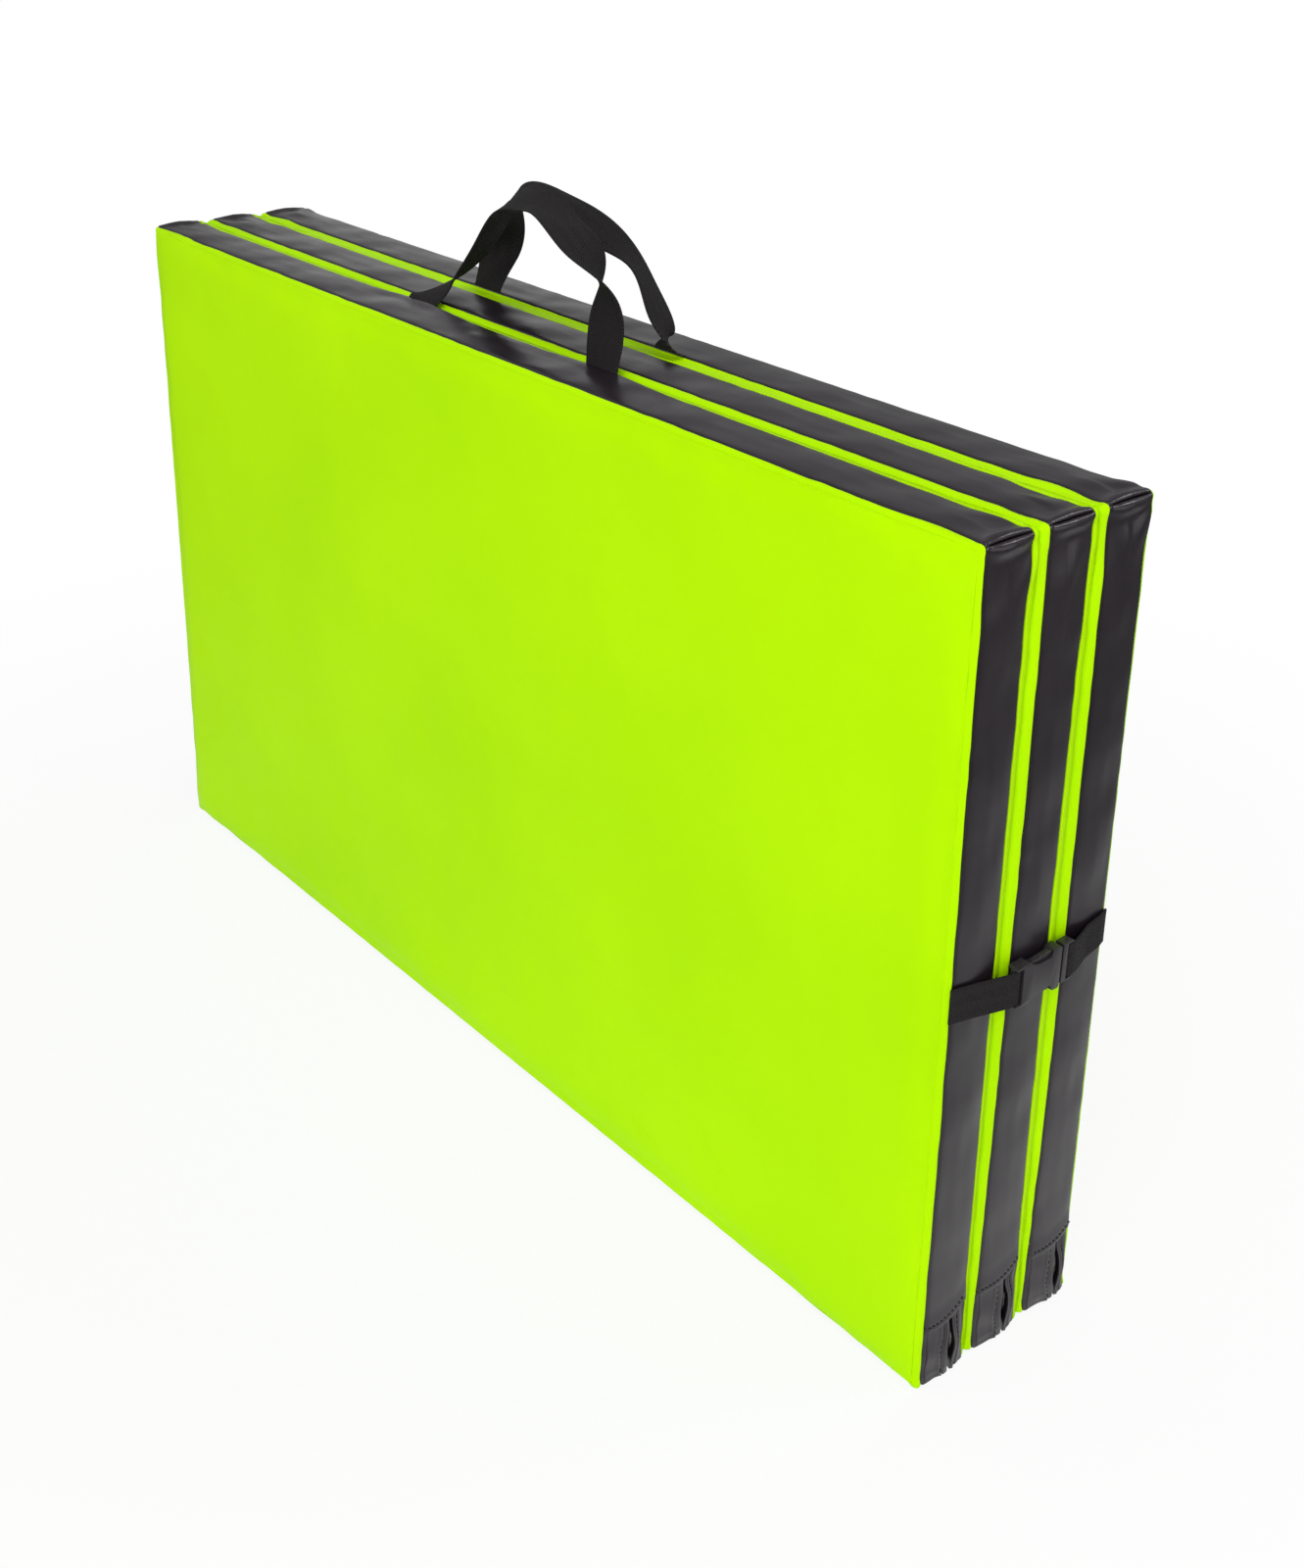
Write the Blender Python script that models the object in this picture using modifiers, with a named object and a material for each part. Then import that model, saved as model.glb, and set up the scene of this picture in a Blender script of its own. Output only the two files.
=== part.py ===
"""Folding gymnastics mat of three panels, folded in a zigzag and standing on a long edge.

Metres, +Z up. X runs along the mat, Y through the folded stack from its front face to its
back, and the origin is on the floor under the middle of the middle panel. The front panel
is hinged to the middle one along the bottom, and the rear panel along the top.
"""

import math

import bmesh
import bpy
import numpy as np
from mathutils import Vector

# Panels
PANEL_LENGTH = 1.000
PANEL_HEIGHT = 0.600
PANEL_THICKNESS = 0.050
PANEL_GAP = 0.0043
CORNER_RADIUS = 0.008
RIM_RADIUS = 0.004
CORNER_SEGMENTS = 4
RIM_SEGMENTS = 2
SIDE_CROWN = 0.0015
FACE_DRAW_IN = 0.0016
DRAW_IN_REACH = 0.035
DRAW_IN_MIDDLE = 0.012
DRAW_IN_START = 0.6

# Covers
COVER_THICKNESS = 0.0008
SKIN_WRAP = 0.005
SEAM_GAP = 0.0003
CORNER_SEAM_GAP = 0.0007
FIT_GAP = 0.0003
END_BAND_BOTTOM = 0.050

# Zips
ZIP_OFFSET = 0.007
ZIP_SLOT = 0.008
TAPE_WIDTH = 0.015
TAPE_THICKNESS = 0.0006
TAPE_DEPTH = 0.0053
TEETH_WIDTH = 0.004
TEETH_HEIGHT = 0.0012
GROOVE_SIDE_GAP = 0.0004
RISER_TOP = 0.048
SLIDER_LENGTH = 0.011
SLIDER_WIDTH = 0.0072
SLIDER_PLATE = 0.0008
SLIDER_PARK = 0.030
BRIDGE_SPAN = 0.0042
BRIDGE_WIDTH = 0.0024
BRIDGE_WALL = 0.0010
BRIDGE_ROOM = 0.0019
BRIDGE_ROOF = 0.0006
PULL_LENGTH = 0.020
PULL_WIDTH = 0.0064
PULL_THICKNESS = 0.0010
PULL_WINDOW = 0.0050

# Hinge strips between the panels
HINGE_CLEARANCE = 0.0003
STRIP_WIDTH = 0.0084
STRIP_THICKNESS = 0.0008
STRIP_INSET = 0.0005

# Handles of webbing, sewn in the top seams that face the middle panel
HANDLE_WIDTH = 0.035
HANDLE_THICKNESS = 0.0016
HANDLE_STATIONS = 49
HANDLE_FOOT_GAP = 0.0011
HANDLE_AXIS_RISE = 0.0011

# Strap and side-release buckle at the right end
STRAP_WIDTH = 0.025
STRAP_THICKNESS = 0.0015
STRAP_SEWN_HEIGHT = 0.2975
STRAP_STAND_OFF = 0.0004
BUCKLE_PLACE = -0.0050
BUCKLE_HEIGHT = 0.2945
BUCKLE_STAND_OFF = 0.0012
BUCKLE_THICKNESS = 0.0086
BUCKLE_WALL = 0.0018
SOCKET_END = -0.0195
SOCKET_MOUTH = 0.0237
SOCKET_HALF_WIDTH = 0.0155
SOCKET_END_HALF_WIDTH = 0.0146
SOCKET_CAVITY_END = -0.0090
SOCKET_SIDE_WALL = 0.0026
STRAP_BAR = 0.0032
STRAP_SLOT = 0.0035
STRAP_SLOT_GAP = 0.0005
NOTCH_START = -0.0070
NOTCH_END = 0.0170
NOTCH_DEPTH = 0.0050
PLUG_FACE = 0.0263
PLUG_BASE = 0.0047
PLUG_HALF_WIDTH = 0.0145
PLUG_THICKNESS = 0.0070
GUIDE_HALF_WIDTH = 0.0030
GUIDE_TIP = -0.0030
ARM_TIP = -0.0060
ARM_WIDTH = 0.0038
ARM_ROOT_GAP = 0.0005
ARM_AXIS_INSET = 0.0011
PAD_START = -0.0030
PAD_END = 0.0152
PAD_RISE = 0.0016

HALF = Vector((PANEL_LENGTH / 2, PANEL_THICKNESS / 2, PANEL_HEIGHT / 2))
PITCH = PANEL_THICKNESS + PANEL_GAP
SEAM_Y = HALF.y - SKIN_WRAP
SLOT_LOW = ZIP_OFFSET - ZIP_SLOT / 2
SLOT_HIGH = ZIP_OFFSET + ZIP_SLOT / 2
SEAM_DROP = SIDE_CROWN * (SEAM_Y / HALF.y) ** 2
TEETH_DEPTH = TAPE_DEPTH - TEETH_HEIGHT

COLOURS = {
    "lime_pvc": ((0.45, 0.94, 0.0, 1), 0.42, 0.0),
    "black_pvc": ((0.028, 0.028, 0.029, 1), 0.45, 0.0),
    "foam": ((0.78, 0.77, 0.72, 1), 0.95, 0.0),
    "zip_tape": ((0.015, 0.015, 0.016, 1), 0.8, 0.0),
    "zip_metal": ((0.05, 0.05, 0.052, 1), 0.38, 1.0),
    "webbing": ((0.011, 0.01, 0.011, 1), 0.85, 0.0),
    "buckle_plastic": ((0.06, 0.052, 0.058, 1), 0.4, 0.0),
}


def clear_scene():
    for obj in list(bpy.data.objects):
        bpy.data.objects.remove(obj, do_unlink=True)


def new_collection(name):
    made = bpy.data.collections.new(name)
    bpy.context.scene.collection.children.link(made)
    return made


def new_material(name):
    colour, roughness, metallic = COLOURS[name]
    made = bpy.data.materials.new(name)
    made.use_nodes = True
    shader = made.node_tree.nodes["Principled BSDF"]
    shader.inputs["Base Color"].default_value = colour
    shader.inputs["Roughness"].default_value = roughness
    shader.inputs["Metallic"].default_value = metallic
    return made


def mesh_from(bm, name):
    bmesh.ops.recalc_face_normals(bm, faces=bm.faces)
    mesh = bpy.data.meshes.new(name)
    bm.to_mesh(mesh)
    bm.free()
    return mesh


def place(name, mesh, material, where, parent):
    """A named object of this mesh, at a place in the world and carried by an empty."""
    obj = bpy.data.objects.new(name, mesh)
    PARTS.objects.link(obj)
    if not mesh.materials:
        mesh.materials.append(MATERIALS[material])
    obj.parent = parent
    obj.location = Vector(where) - world_of(parent)
    mesh.shade_smooth()
    mesh.set_sharp_from_angle(angle=math.radians(40))
    return obj


def world_of(empty):
    """An empty's place in the world: the empties are only moved, never turned."""
    at = Vector()
    while empty:
        at += empty.location
        empty = empty.parent
    return at


def new_axis(name, where, parent=None):
    """An empty on a joint's axis, or under what stands still."""
    empty = bpy.data.objects.new(name, None)
    empty.empty_display_size = 0.03
    PARTS.objects.link(empty)
    empty.parent = parent
    empty.location = Vector(where) - world_of(parent)
    return empty


def box(bm, low, high):
    """Adds a box between two corners and returns its vertices."""
    low, high = Vector(low), Vector(high)
    made = bmesh.ops.create_cube(bm, size=1.0)["verts"]
    for vert in made:
        vert.co = Vector(low[i] + (vert.co[i] + 0.5) * (high[i] - low[i]) for i in range(3))
    return made


def box_mesh(name, low, high):
    bm = bmesh.new()
    box(bm, low, high)
    return mesh_from(bm, name)


def outline_mesh(name, outlines, thickness):
    """A flat plate in X and Y, its first outline the edge and the others holes through it."""
    curve = bpy.data.curves.new(name, "CURVE")
    curve.dimensions = "2D"
    curve.fill_mode = "BOTH"
    curve.extrude = thickness / 2
    for points in outlines:
        spline = curve.splines.new("POLY")
        spline.points.add(len(points) - 1)
        for point, (u, v) in zip(spline.points, points):
            point.co = (u, v, 0, 1)
        spline.use_cyclic_u = True
    holder = bpy.data.objects.new(name, curve)
    mesh = evaluated_mesh(holder)
    bpy.data.curves.remove(curve)
    bm = bmesh.new()
    bm.from_mesh(mesh)
    bpy.data.meshes.remove(mesh)
    bmesh.ops.remove_doubles(bm, verts=bm.verts, dist=1e-6)
    return mesh_from(bm, name)


def evaluated_mesh(obj):
    """The object's mesh with its modifiers applied; the object itself is removed."""
    bpy.context.scene.collection.objects.link(obj)
    bpy.context.view_layer.update()
    graph = bpy.context.evaluated_depsgraph_get()
    mesh = bpy.data.meshes.new_from_object(obj.evaluated_get(graph))
    bpy.data.objects.remove(obj, do_unlink=True)
    return mesh


def combined(name, mesh, others, operation):
    """The mesh after an exact Boolean with each of the others."""
    obj = bpy.data.objects.new(name, mesh)
    for other in others:
        tool = bpy.data.objects.new(name + "_tool", other)
        tool.hide_render = True
        tool.display_type = "WIRE"
        CUTTERS.objects.link(tool)
        step = obj.modifiers.new(operation, "BOOLEAN")
        step.operation = operation
        step.object = tool
        step.solver = "EXACT"
    return evaluated_mesh(obj)


def slab(half, corner_radius, rim_radius):
    """A slab about the origin, rounded at its four corners and round the rims of both faces."""
    bm = bmesh.new()
    box(bm, -half, half)
    corners = [e for e in bm.edges if e.verts[0].co.y * e.verts[1].co.y < 0]
    bmesh.ops.bevel(
        bm, geom=corners, offset=corner_radius, segments=CORNER_SEGMENTS, profile=0.5, affect="EDGES"
    )
    rims = [e for e in bm.edges if e.verts[0].co.y * e.verts[1].co.y > 0]
    bmesh.ops.bevel(
        bm, geom=rims, offset=rim_radius, segments=RIM_SEGMENTS, profile=0.5, affect="EDGES"
    )
    return bm


def cut(bm, where, normal, chosen=None):
    """Cuts new edges into the chosen faces, or all, along a plane."""
    faces = bm.faces if chosen is None else [f for f in bm.faces if chosen(f.calc_center_median())]
    edges = {e for f in faces for e in f.edges}
    verts = {v for f in faces for v in f.verts}
    bmesh.ops.bisect_plane(
        bm, geom=[*verts, *edges, *faces], plane_co=where, plane_no=normal, dist=1e-7
    )


def cut_for_plumpness(bm):
    """Edges along which the faces begin to draw in towards their rims."""
    for reach in (DRAW_IN_MIDDLE, DRAW_IN_REACH):
        for sign in (-1, 1):
            cut(bm, (sign * (HALF.x - reach), 0, 0), (1, 0, 0))
            cut(bm, (0, 0, sign * (HALF.z - reach)), (0, 0, 1))


def plump(bm, half):
    """Crowns the top and the ends across the thickness and draws both faces in at their rims."""
    for vert in bm.verts:
        x, y, z = vert.co
        across = abs(y) / half.y
        border = max(0.0, min(half.x - abs(x), half.z - abs(z)))
        near_rim = max(0.0, 1 - border / DRAW_IN_REACH) ** 2
        outer = max(0.0, (across - DRAW_IN_START) / (1 - DRAW_IN_START)) ** 2
        vert.co.y -= math.copysign(FACE_DRAW_IN * near_rim * outer, y)
        vert.co.x -= SIDE_CROWN * across**2 * x / half.x
        vert.co.z -= SIDE_CROWN * across**2 * max(0.0, z) / half.z


def corner_distance(point):
    """How far round the top corner's middle a point lies, towards the end, or None elsewhere."""
    along = abs(point.x) - (HALF.x - CORNER_RADIUS)
    up = point.z - (HALF.z - CORNER_RADIUS)
    return (along - up) / math.sqrt(2) if along > 0 and up > 0 else None


def piece_of(point):
    """Which piece of the cover a point of its surface belongs to, or None in a seam or the slot."""
    if abs(point.y) > SEAM_Y + SEAM_GAP / 2:
        return "front_skin" if point.y < 0 else "back_skin"
    if abs(point.y) > SEAM_Y - SEAM_GAP / 2:
        return None
    height = point.z + HALF.z
    if height < END_BAND_BOTTOM - SEAM_GAP / 2:
        if SLOT_LOW < point.y < SLOT_HIGH:
            return None
        return "zip_band_front" if point.y < SLOT_LOW else "zip_band_rear"
    if height < END_BAND_BOTTOM + SEAM_GAP / 2:
        return None
    round_corner = corner_distance(point)
    if round_corner is None:
        on_end = abs(point.x) > HALF.x - CORNER_RADIUS / 2
        return "top_band" if not on_end else ("left_end_band" if point.x < 0 else "right_end_band")
    if abs(round_corner) < CORNER_SEAM_GAP / 2:
        return None
    if round_corner < 0:
        return "top_band"
    return "left_end_band" if point.x < 0 else "right_end_band"


def cover_meshes():
    """The cover's outer surface, cut along its seams into one open mesh for each piece."""
    bm = slab(HALF, CORNER_RADIUS, RIM_RADIUS)
    cut_for_plumpness(bm)
    for seam in (-SEAM_Y, SEAM_Y):
        for side in (-SEAM_GAP / 2, SEAM_GAP / 2):
            cut(bm, (0, seam + side, 0), (0, 1, 0))
    for station in (-SLOT_HIGH, SLOT_LOW, SLOT_HIGH):
        cut(bm, (0, station, 0), (0, 1, 0))
    for side in (-SEAM_GAP / 2, SEAM_GAP / 2):
        cut(bm, (0, 0, END_BAND_BOTTOM - HALF.z + side), (0, 0, 1))
    for sign in (-1, 1):
        for side in (-CORNER_SEAM_GAP / 2, CORNER_SEAM_GAP / 2):
            normal = Vector((sign, 0, -1)).normalized()
            middle = Vector((sign * (HALF.x - CORNER_RADIUS), 0, HALF.z - CORNER_RADIUS))
            cut(
                bm,
                middle + side * normal,
                normal,
                lambda c: abs(c.y) < SEAM_Y and c.x * sign > 0 and corner_distance(c) is not None,
            )
    names = [piece_of(face.calc_center_median()) for face in bm.faces]
    plump(bm, HALF)
    meshes = {}
    for name in sorted({n for n in names if n}):
        part = bm.copy()
        part.faces.ensure_lookup_table()
        others = [part.faces[i] for i, n in enumerate(names) if n != name]
        bmesh.ops.delete(part, geom=others, context="FACES")
        mesh = bpy.data.meshes.new(name)
        part.to_mesh(mesh)
        part.free()
        meshes[name] = mesh
    bm.free()
    return meshes


def channel_mesh(name, depth, thickness, width, top):
    """A strip bent along the panel's bottom and up both ends, this deep under the surface."""
    out = HALF.x - depth
    inner = out - thickness
    points = [(-out, top), (-out, depth), (out, depth), (out, top)]
    points += [(inner, top), (inner, depth + thickness), (-inner, depth + thickness), (-inner, top)]
    mesh = outline_mesh(name, [points], width)
    for vert in mesh.vertices:
        x, z, y = vert.co
        vert.co = (x, y + ZIP_OFFSET, z - HALF.z)
    mesh.flip_normals()
    return mesh


def foam_mesh():
    """The foam block, a fit gap inside the cover all round, grooved for the zip."""
    inset = COVER_THICKNESS + FIT_GAP
    half = HALF - Vector((inset, inset, inset))
    bm = slab(half, CORNER_RADIUS - inset, RIM_RADIUS - inset)
    cut_for_plumpness(bm)
    for station in (-SEAM_Y, -SLOT_HIGH, SLOT_LOW, SLOT_HIGH, SEAM_Y):
        cut(bm, (0, station, 0), (0, 1, 0))
    plump(bm, half)
    groove_floor = TAPE_DEPTH + TAPE_THICKNESS + FIT_GAP
    outside = 0.003
    groove = channel_mesh(
        "groove",
        -outside,
        groove_floor + outside,
        TAPE_WIDTH + 2 * GROOVE_SIDE_GAP,
        RISER_TOP + FIT_GAP,
    )
    return combined("foam_core", mesh_from(bm, "foam_core"), [groove], "DIFFERENCE")


def zip_chain_mesh():
    """The zip's tape with its row of teeth standing on it."""
    tape = channel_mesh("tape", TAPE_DEPTH, TAPE_THICKNESS, TAPE_WIDTH, RISER_TOP)
    teeth = channel_mesh(
        "teeth", TEETH_DEPTH, TEETH_HEIGHT + TAPE_THICKNESS / 2, TEETH_WIDTH, RISER_TOP
    )
    return combined("zip_chain", tape, [teeth], "UNION")


def zip_slider_mesh():
    """The slider's plate with a flange either side of the teeth and a bridge for the pull."""
    bm = bmesh.new()
    plate_low = TEETH_DEPTH - FIT_GAP - SLIDER_PLATE
    plate_high = TEETH_DEPTH - FIT_GAP
    box(
        bm,
        (-SLIDER_LENGTH / 2, -SLIDER_WIDTH / 2, plate_low),
        (SLIDER_LENGTH / 2, SLIDER_WIDTH / 2, plate_high),
    )
    plate = mesh_from(bm, "slider_plate")
    others = []
    flange_inner = TEETH_WIDTH / 2 + GROOVE_SIDE_GAP
    for sign in (-1, 1):
        near, far = sorted((sign * flange_inner, sign * SLIDER_WIDTH / 2))
        others.append(
            box_mesh(
                "flange",
                (-SLIDER_LENGTH / 2, near, plate_low + SLIDER_PLATE / 2),
                (SLIDER_LENGTH / 2, far, TAPE_DEPTH - FIT_GAP),
            )
        )
    span = BRIDGE_SPAN / 2
    roof = plate_low - BRIDGE_ROOM - BRIDGE_ROOF
    others.append(bridge_mesh(span, roof, plate_low))
    return combined("zip_slider", plate, others, "UNION")


def bridge_mesh(span, roof, foot):
    """An arch over the pull's cross bar: two posts and a roof, cut from one outline."""
    out = span + BRIDGE_WALL
    base = foot + SLIDER_PLATE / 2
    points = [(-out, base), (-out, roof), (out, roof), (out, base)]
    points += [(span, base), (span, roof + BRIDGE_ROOF), (-span, roof + BRIDGE_ROOF), (-span, base)]
    mesh = outline_mesh("bridge", [points], BRIDGE_WIDTH)
    for vert in mesh.vertices:
        x, z, y = vert.co
        vert.co = (x, y, z)
    mesh.flip_normals()
    return mesh


def zip_pull_mesh():
    """A flat tab with a window at its hinged end, leaving a cross bar on the hinge axis."""
    end = -PULL_THICKNESS / 2
    half = PULL_WIDTH / 2
    tip = end + PULL_LENGTH
    outer = [(end, -half), (tip - half, -half)]
    for step in range(1, 6):
        angle = math.radians(-90 + 30 * step)
        outer.append((tip - half + half * math.cos(angle), half * math.sin(angle)))
    outer += [(tip - half, half), (end, half)]
    side = BRIDGE_WIDTH / 2 + GROOVE_SIDE_GAP
    window = [(-end, -side), (PULL_WINDOW, -side), (PULL_WINDOW, side), (-end, side)]
    return outline_mesh("zip_pull", [outer, window], PULL_THICKNESS)


def spline_through(knots, count):
    """Points on the natural cubic spline through evenly spaced knots."""
    knots = np.asarray(knots, float)
    last = len(knots) - 1
    system = np.eye(last + 1)
    right = np.zeros_like(knots)
    for i in range(1, last):
        system[i, i - 1 : i + 2] = (1, 4, 1)
        right[i] = 6 * (knots[i - 1] - 2 * knots[i] + knots[i + 1])
    bend = np.linalg.solve(system, right)
    along = np.linspace(0, last, count)
    left = np.minimum(along.astype(int), last - 1)
    b = (along - left).reshape((-1,) + (1,) * (knots.ndim - 1))
    a = 1 - b
    straight = a * knots[left] + b * knots[left + 1]
    return straight + ((a**3 - a) * bend[left] + (b**3 - b) * bend[left + 1]) / 6


def ribbon_mesh(name, centres, sideways, width):
    """An open strip along the centres, reaching half its width to either side of each."""
    bm = bmesh.new()
    bmesh.ops.create_grid(bm, x_segments=len(centres) - 1, y_segments=1, size=1.0)
    for vert in bm.verts:
        station = round((vert.co.x + 1) / 2 * (len(centres) - 1))
        reach = math.copysign(width / 2, vert.co.y)
        vert.co = Vector(centres[station]) + Vector(sideways[station]) * reach
    mesh = bpy.data.meshes.new(name)
    bm.to_mesh(mesh)
    bm.free()
    return mesh


def twisted_handle_mesh(name, knots, twists):
    """A webbing loop along the knots, turned about its run by the twists, in degrees.

    With no twist its width lies along Y; at a foot a quarter turn lays it along the seam, level,
    and no edge dips under the feet.
    """
    centres = spline_through(knots, HANDLE_STATIONS)
    turn = np.radians(spline_through(twists, HANDLE_STATIONS))[:, None]
    run = np.gradient(centres, axis=0)
    run /= np.linalg.norm(run, axis=1)[:, None]
    across = np.array([0.0, 1.0, 0.0]) - run[:, 1:2] * run
    across /= np.linalg.norm(across, axis=1)[:, None]
    sideways = np.cos(turn) * across + np.sin(turn) * np.cross(across, run)
    sideways[[0, -1], 2] = 0.0
    sideways /= np.linalg.norm(sideways, axis=1)[:, None]
    dip = np.abs(sideways[:, 2]) * HANDLE_WIDTH / 2
    centres[:, 2] = np.maximum(centres[:, 2], centres[[0, -1], 2].min() + dip)
    return ribbon_mesh(name, centres, sideways, HANDLE_WIDTH)


def thicken(obj, thickness, offset):
    step = obj.modifiers.new("thickness", "SOLIDIFY")
    step.thickness = thickness
    step.offset = offset
    step.use_even_offset = True


def add_panel(name, carrier, centre_y, meshes):
    """One padded panel: foam block, seven pieces of cover, zip chain, slider and pull."""
    middle = (0, centre_y, HALF.z)
    place(name + "_foam_core", meshes["foam_core"], "foam", middle, carrier)
    place(name + "_zip_chain", meshes["zip_chain"], "zip_tape", middle, carrier)
    for piece, mesh in meshes.items():
        if piece.endswith(("skin", "band", "band_front", "band_rear")):
            material = "lime_pvc" if piece.endswith("skin") else "black_pvc"
            thicken(place(f"{name}_{piece}", mesh, material, middle, carrier), COVER_THICKNESS, -1)
    parked = (-HALF.x + SLIDER_PARK, centre_y + ZIP_OFFSET, 0)
    slide = new_axis(name + "_zip_slide", parked, carrier)
    place(name + "_zip_slider", meshes["zip_slider"], "zip_metal", parked, slide)
    bar_depth = TEETH_DEPTH - FIT_GAP - SLIDER_PLATE - BRIDGE_ROOM / 2
    bar = (parked[0], parked[1], bar_depth)
    hinge = new_axis(name + "_zip_pull_axis", bar, slide)
    place(name + "_zip_pull", meshes["zip_pull"], "zip_metal", bar, hinge)


def add_hinge_strips(middle_panel):
    """The flat strips sewn across the gap, low between front and middle, high between middle and rear."""
    for name, sign, low in (
        ("bottom_hinge_strip", -1, STRIP_INSET),
        ("top_hinge_strip", 1, PANEL_HEIGHT - SIDE_CROWN - STRIP_INSET - STRIP_THICKNESS),
    ):
        centre = sign * PITCH / 2
        mesh = box_mesh(
            name,
            (-HALF.x + CORNER_RADIUS, centre - STRIP_WIDTH / 2, low),
            (HALF.x - CORNER_RADIUS, centre + STRIP_WIDTH / 2, low + STRIP_THICKNESS),
        )
        place(name, mesh, "lime_pvc", (0, 0, 0), middle_panel)


def add_handles(front_carrier, rear_carrier):
    """Two webbing loops that lean in over the stack, the front one lying over the rear one."""
    seam_height = PANEL_HEIGHT - SEAM_DROP
    foot = seam_height + HANDLE_FOOT_GAP
    axis_height = seam_height + HANDLE_AXIS_RISE
    seam = PITCH - SEAM_Y
    loops = {
        "front_handle": (
            front_carrier,
            -seam,
            [
                (-0.1269, 0.0000, 0.0000),
                (-0.1199, 0.0287, 0.0169),
                (-0.0901, 0.0391, 0.0509),
                (-0.0558, 0.0331, 0.0849),
                (-0.0141, 0.0262, 0.0989),
                (0.0302, 0.0143, 0.0944),
                (0.0713, 0.0091, 0.0796),
                (0.0961, 0.0079, 0.0444),
                (0.1037, 0.0000, 0.0000),
            ],
            (-90, -28, -11, -22, 5, 5, 18, 83, 90),
        ),
        "rear_handle": (
            rear_carrier,
            seam,
            [
                (-0.1342, 0.0000, 0.0000),
                (-0.1321, 0.0111, 0.0349),
                (-0.1097, 0.0012, 0.0644),
                (-0.0766, -0.0068, 0.0886),
                (-0.0340, -0.0032, 0.0941),
                (0.0113, 0.0039, 0.0721),
                (0.0531, 0.0075, 0.0475),
                (0.0862, 0.0002, 0.0200),
                (0.0942, 0.0000, 0.0000),
            ],
            (90, 65, -26, -21, 20, -1, 33, 26, 90),
        ),
    }
    for name, (carrier, seam_y, knots, twists) in loops.items():
        axis = (0, seam_y, axis_height)
        hinge = new_axis(name + "_axis", axis, carrier)
        placed = [(x, seam_y + y - axis[1], foot + z - axis[2]) for x, y, z in knots]
        obj = place(name, twisted_handle_mesh(name, placed, twists), "webbing", axis, hinge)
        thicken(obj, HANDLE_THICKNESS, 0)


def strap_mesh(name, route, heights):
    """A flat strap along the end faces: a route of (y, x) points and the height of its middle at each."""
    centres = [(x, y, z) for (y, x), z in zip(route, heights)]
    return ribbon_mesh(name, centres, [(0, 0, 1)] * len(centres), STRAP_WIDTH)


def buckle_plate(name, outlines, thickness):
    """A plate lying in Y and Z about the buckle's middle, this thick along X."""
    mesh = outline_mesh(name, outlines, thickness)
    for vert in mesh.vertices:
        y, z, x = vert.co
        vert.co = (x, y, z)
    return mesh


def socket_mesh():
    """The buckle's socket: a hollow shell open at its mouth, notched for the pads, with a strap bar."""
    far, near = SOCKET_HALF_WIDTH, SOCKET_END_HALF_WIDTH
    notch = [(0.0, 0.0), (0.16, 0.6), (0.4, 0.95), (0.65, 1.0), (0.9, 0.9), (1.0, 0.0)]
    edge = [(SOCKET_END, near - 0.002), (SOCKET_END + 0.002, near)]
    for share, deep in notch:
        along = NOTCH_START + share * (NOTCH_END - NOTCH_START)
        edge.append((along, far - 0.0004 - deep * NOTCH_DEPTH))
    edge += [(SOCKET_MOUTH - 0.0012, far), (SOCKET_MOUTH, far - 0.0012)]
    outline = edge + [(y, -z) for y, z in reversed(edge)]
    slot_low = SOCKET_END + STRAP_BAR
    half_slot = STRAP_WIDTH / 2 + STRAP_SLOT_GAP
    slot = [
        (slot_low, -half_slot),
        (slot_low + STRAP_SLOT, -half_slot),
        (slot_low + STRAP_SLOT, half_slot),
        (slot_low, half_slot),
    ]
    body = buckle_plate("socket_body", [outline, slot], BUCKLE_THICKNESS)
    half_room = BUCKLE_THICKNESS / 2 - BUCKLE_WALL
    half_width = SOCKET_HALF_WIDTH - SOCKET_SIDE_WALL
    cavity = box_mesh(
        "socket_cavity",
        (-half_room, SOCKET_CAVITY_END, -half_width),
        (half_room, SOCKET_MOUTH + 0.005, half_width),
    )
    thinned = []
    for sign in (-1, 1):
        inner, outer = sorted((sign * STRAP_BAR / 2, sign * BUCKLE_THICKNESS))
        thinned.append(
            box_mesh(
                "bar_relief",
                (inner, SOCKET_END - 0.005, -half_slot),
                (outer, slot_low + STRAP_SLOT / 2, half_slot),
            )
        )
    return combined("buckle_socket", body, [cavity, *thinned], "DIFFERENCE")


def plug_mesh():
    """The buckle's plug: a base with a strap bar, and the guide that enters the socket."""
    slot_low = PLUG_FACE + PLUG_BASE
    end = slot_low + STRAP_SLOT + STRAP_BAR
    half = PLUG_HALF_WIDTH
    corner = 0.002
    outline = [(PLUG_FACE, -half), (end - corner, -half), (end, -half + corner)]
    outline += [(end, half - corner), (end - corner, half), (PLUG_FACE, half)]
    half_slot = STRAP_WIDTH / 2 + STRAP_SLOT_GAP
    slot = [
        (slot_low, -half_slot),
        (slot_low + STRAP_SLOT, -half_slot),
        (slot_low + STRAP_SLOT, half_slot),
        (slot_low, half_slot),
    ]
    base = buckle_plate("plug_base", [outline, slot], PLUG_THICKNESS)
    reliefs = []
    for sign in (-1, 1):
        inner, outer = sorted((sign * STRAP_BAR / 2, sign * PLUG_THICKNESS))
        reliefs.append(
            box_mesh(
                "bar_relief",
                (inner, slot_low + STRAP_SLOT / 2, -half_slot),
                (outer, end + 0.005, half_slot),
            )
        )
    base = combined("plug_base", base, reliefs, "DIFFERENCE")
    guide = box_mesh(
        "plug_guide",
        (-arm_half_thickness(), GUIDE_TIP, -GUIDE_HALF_WIDTH),
        (arm_half_thickness(), PLUG_FACE + PLUG_BASE / 2, GUIDE_HALF_WIDTH),
    )
    return combined("buckle_plug", base, [guide], "UNION")


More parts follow.
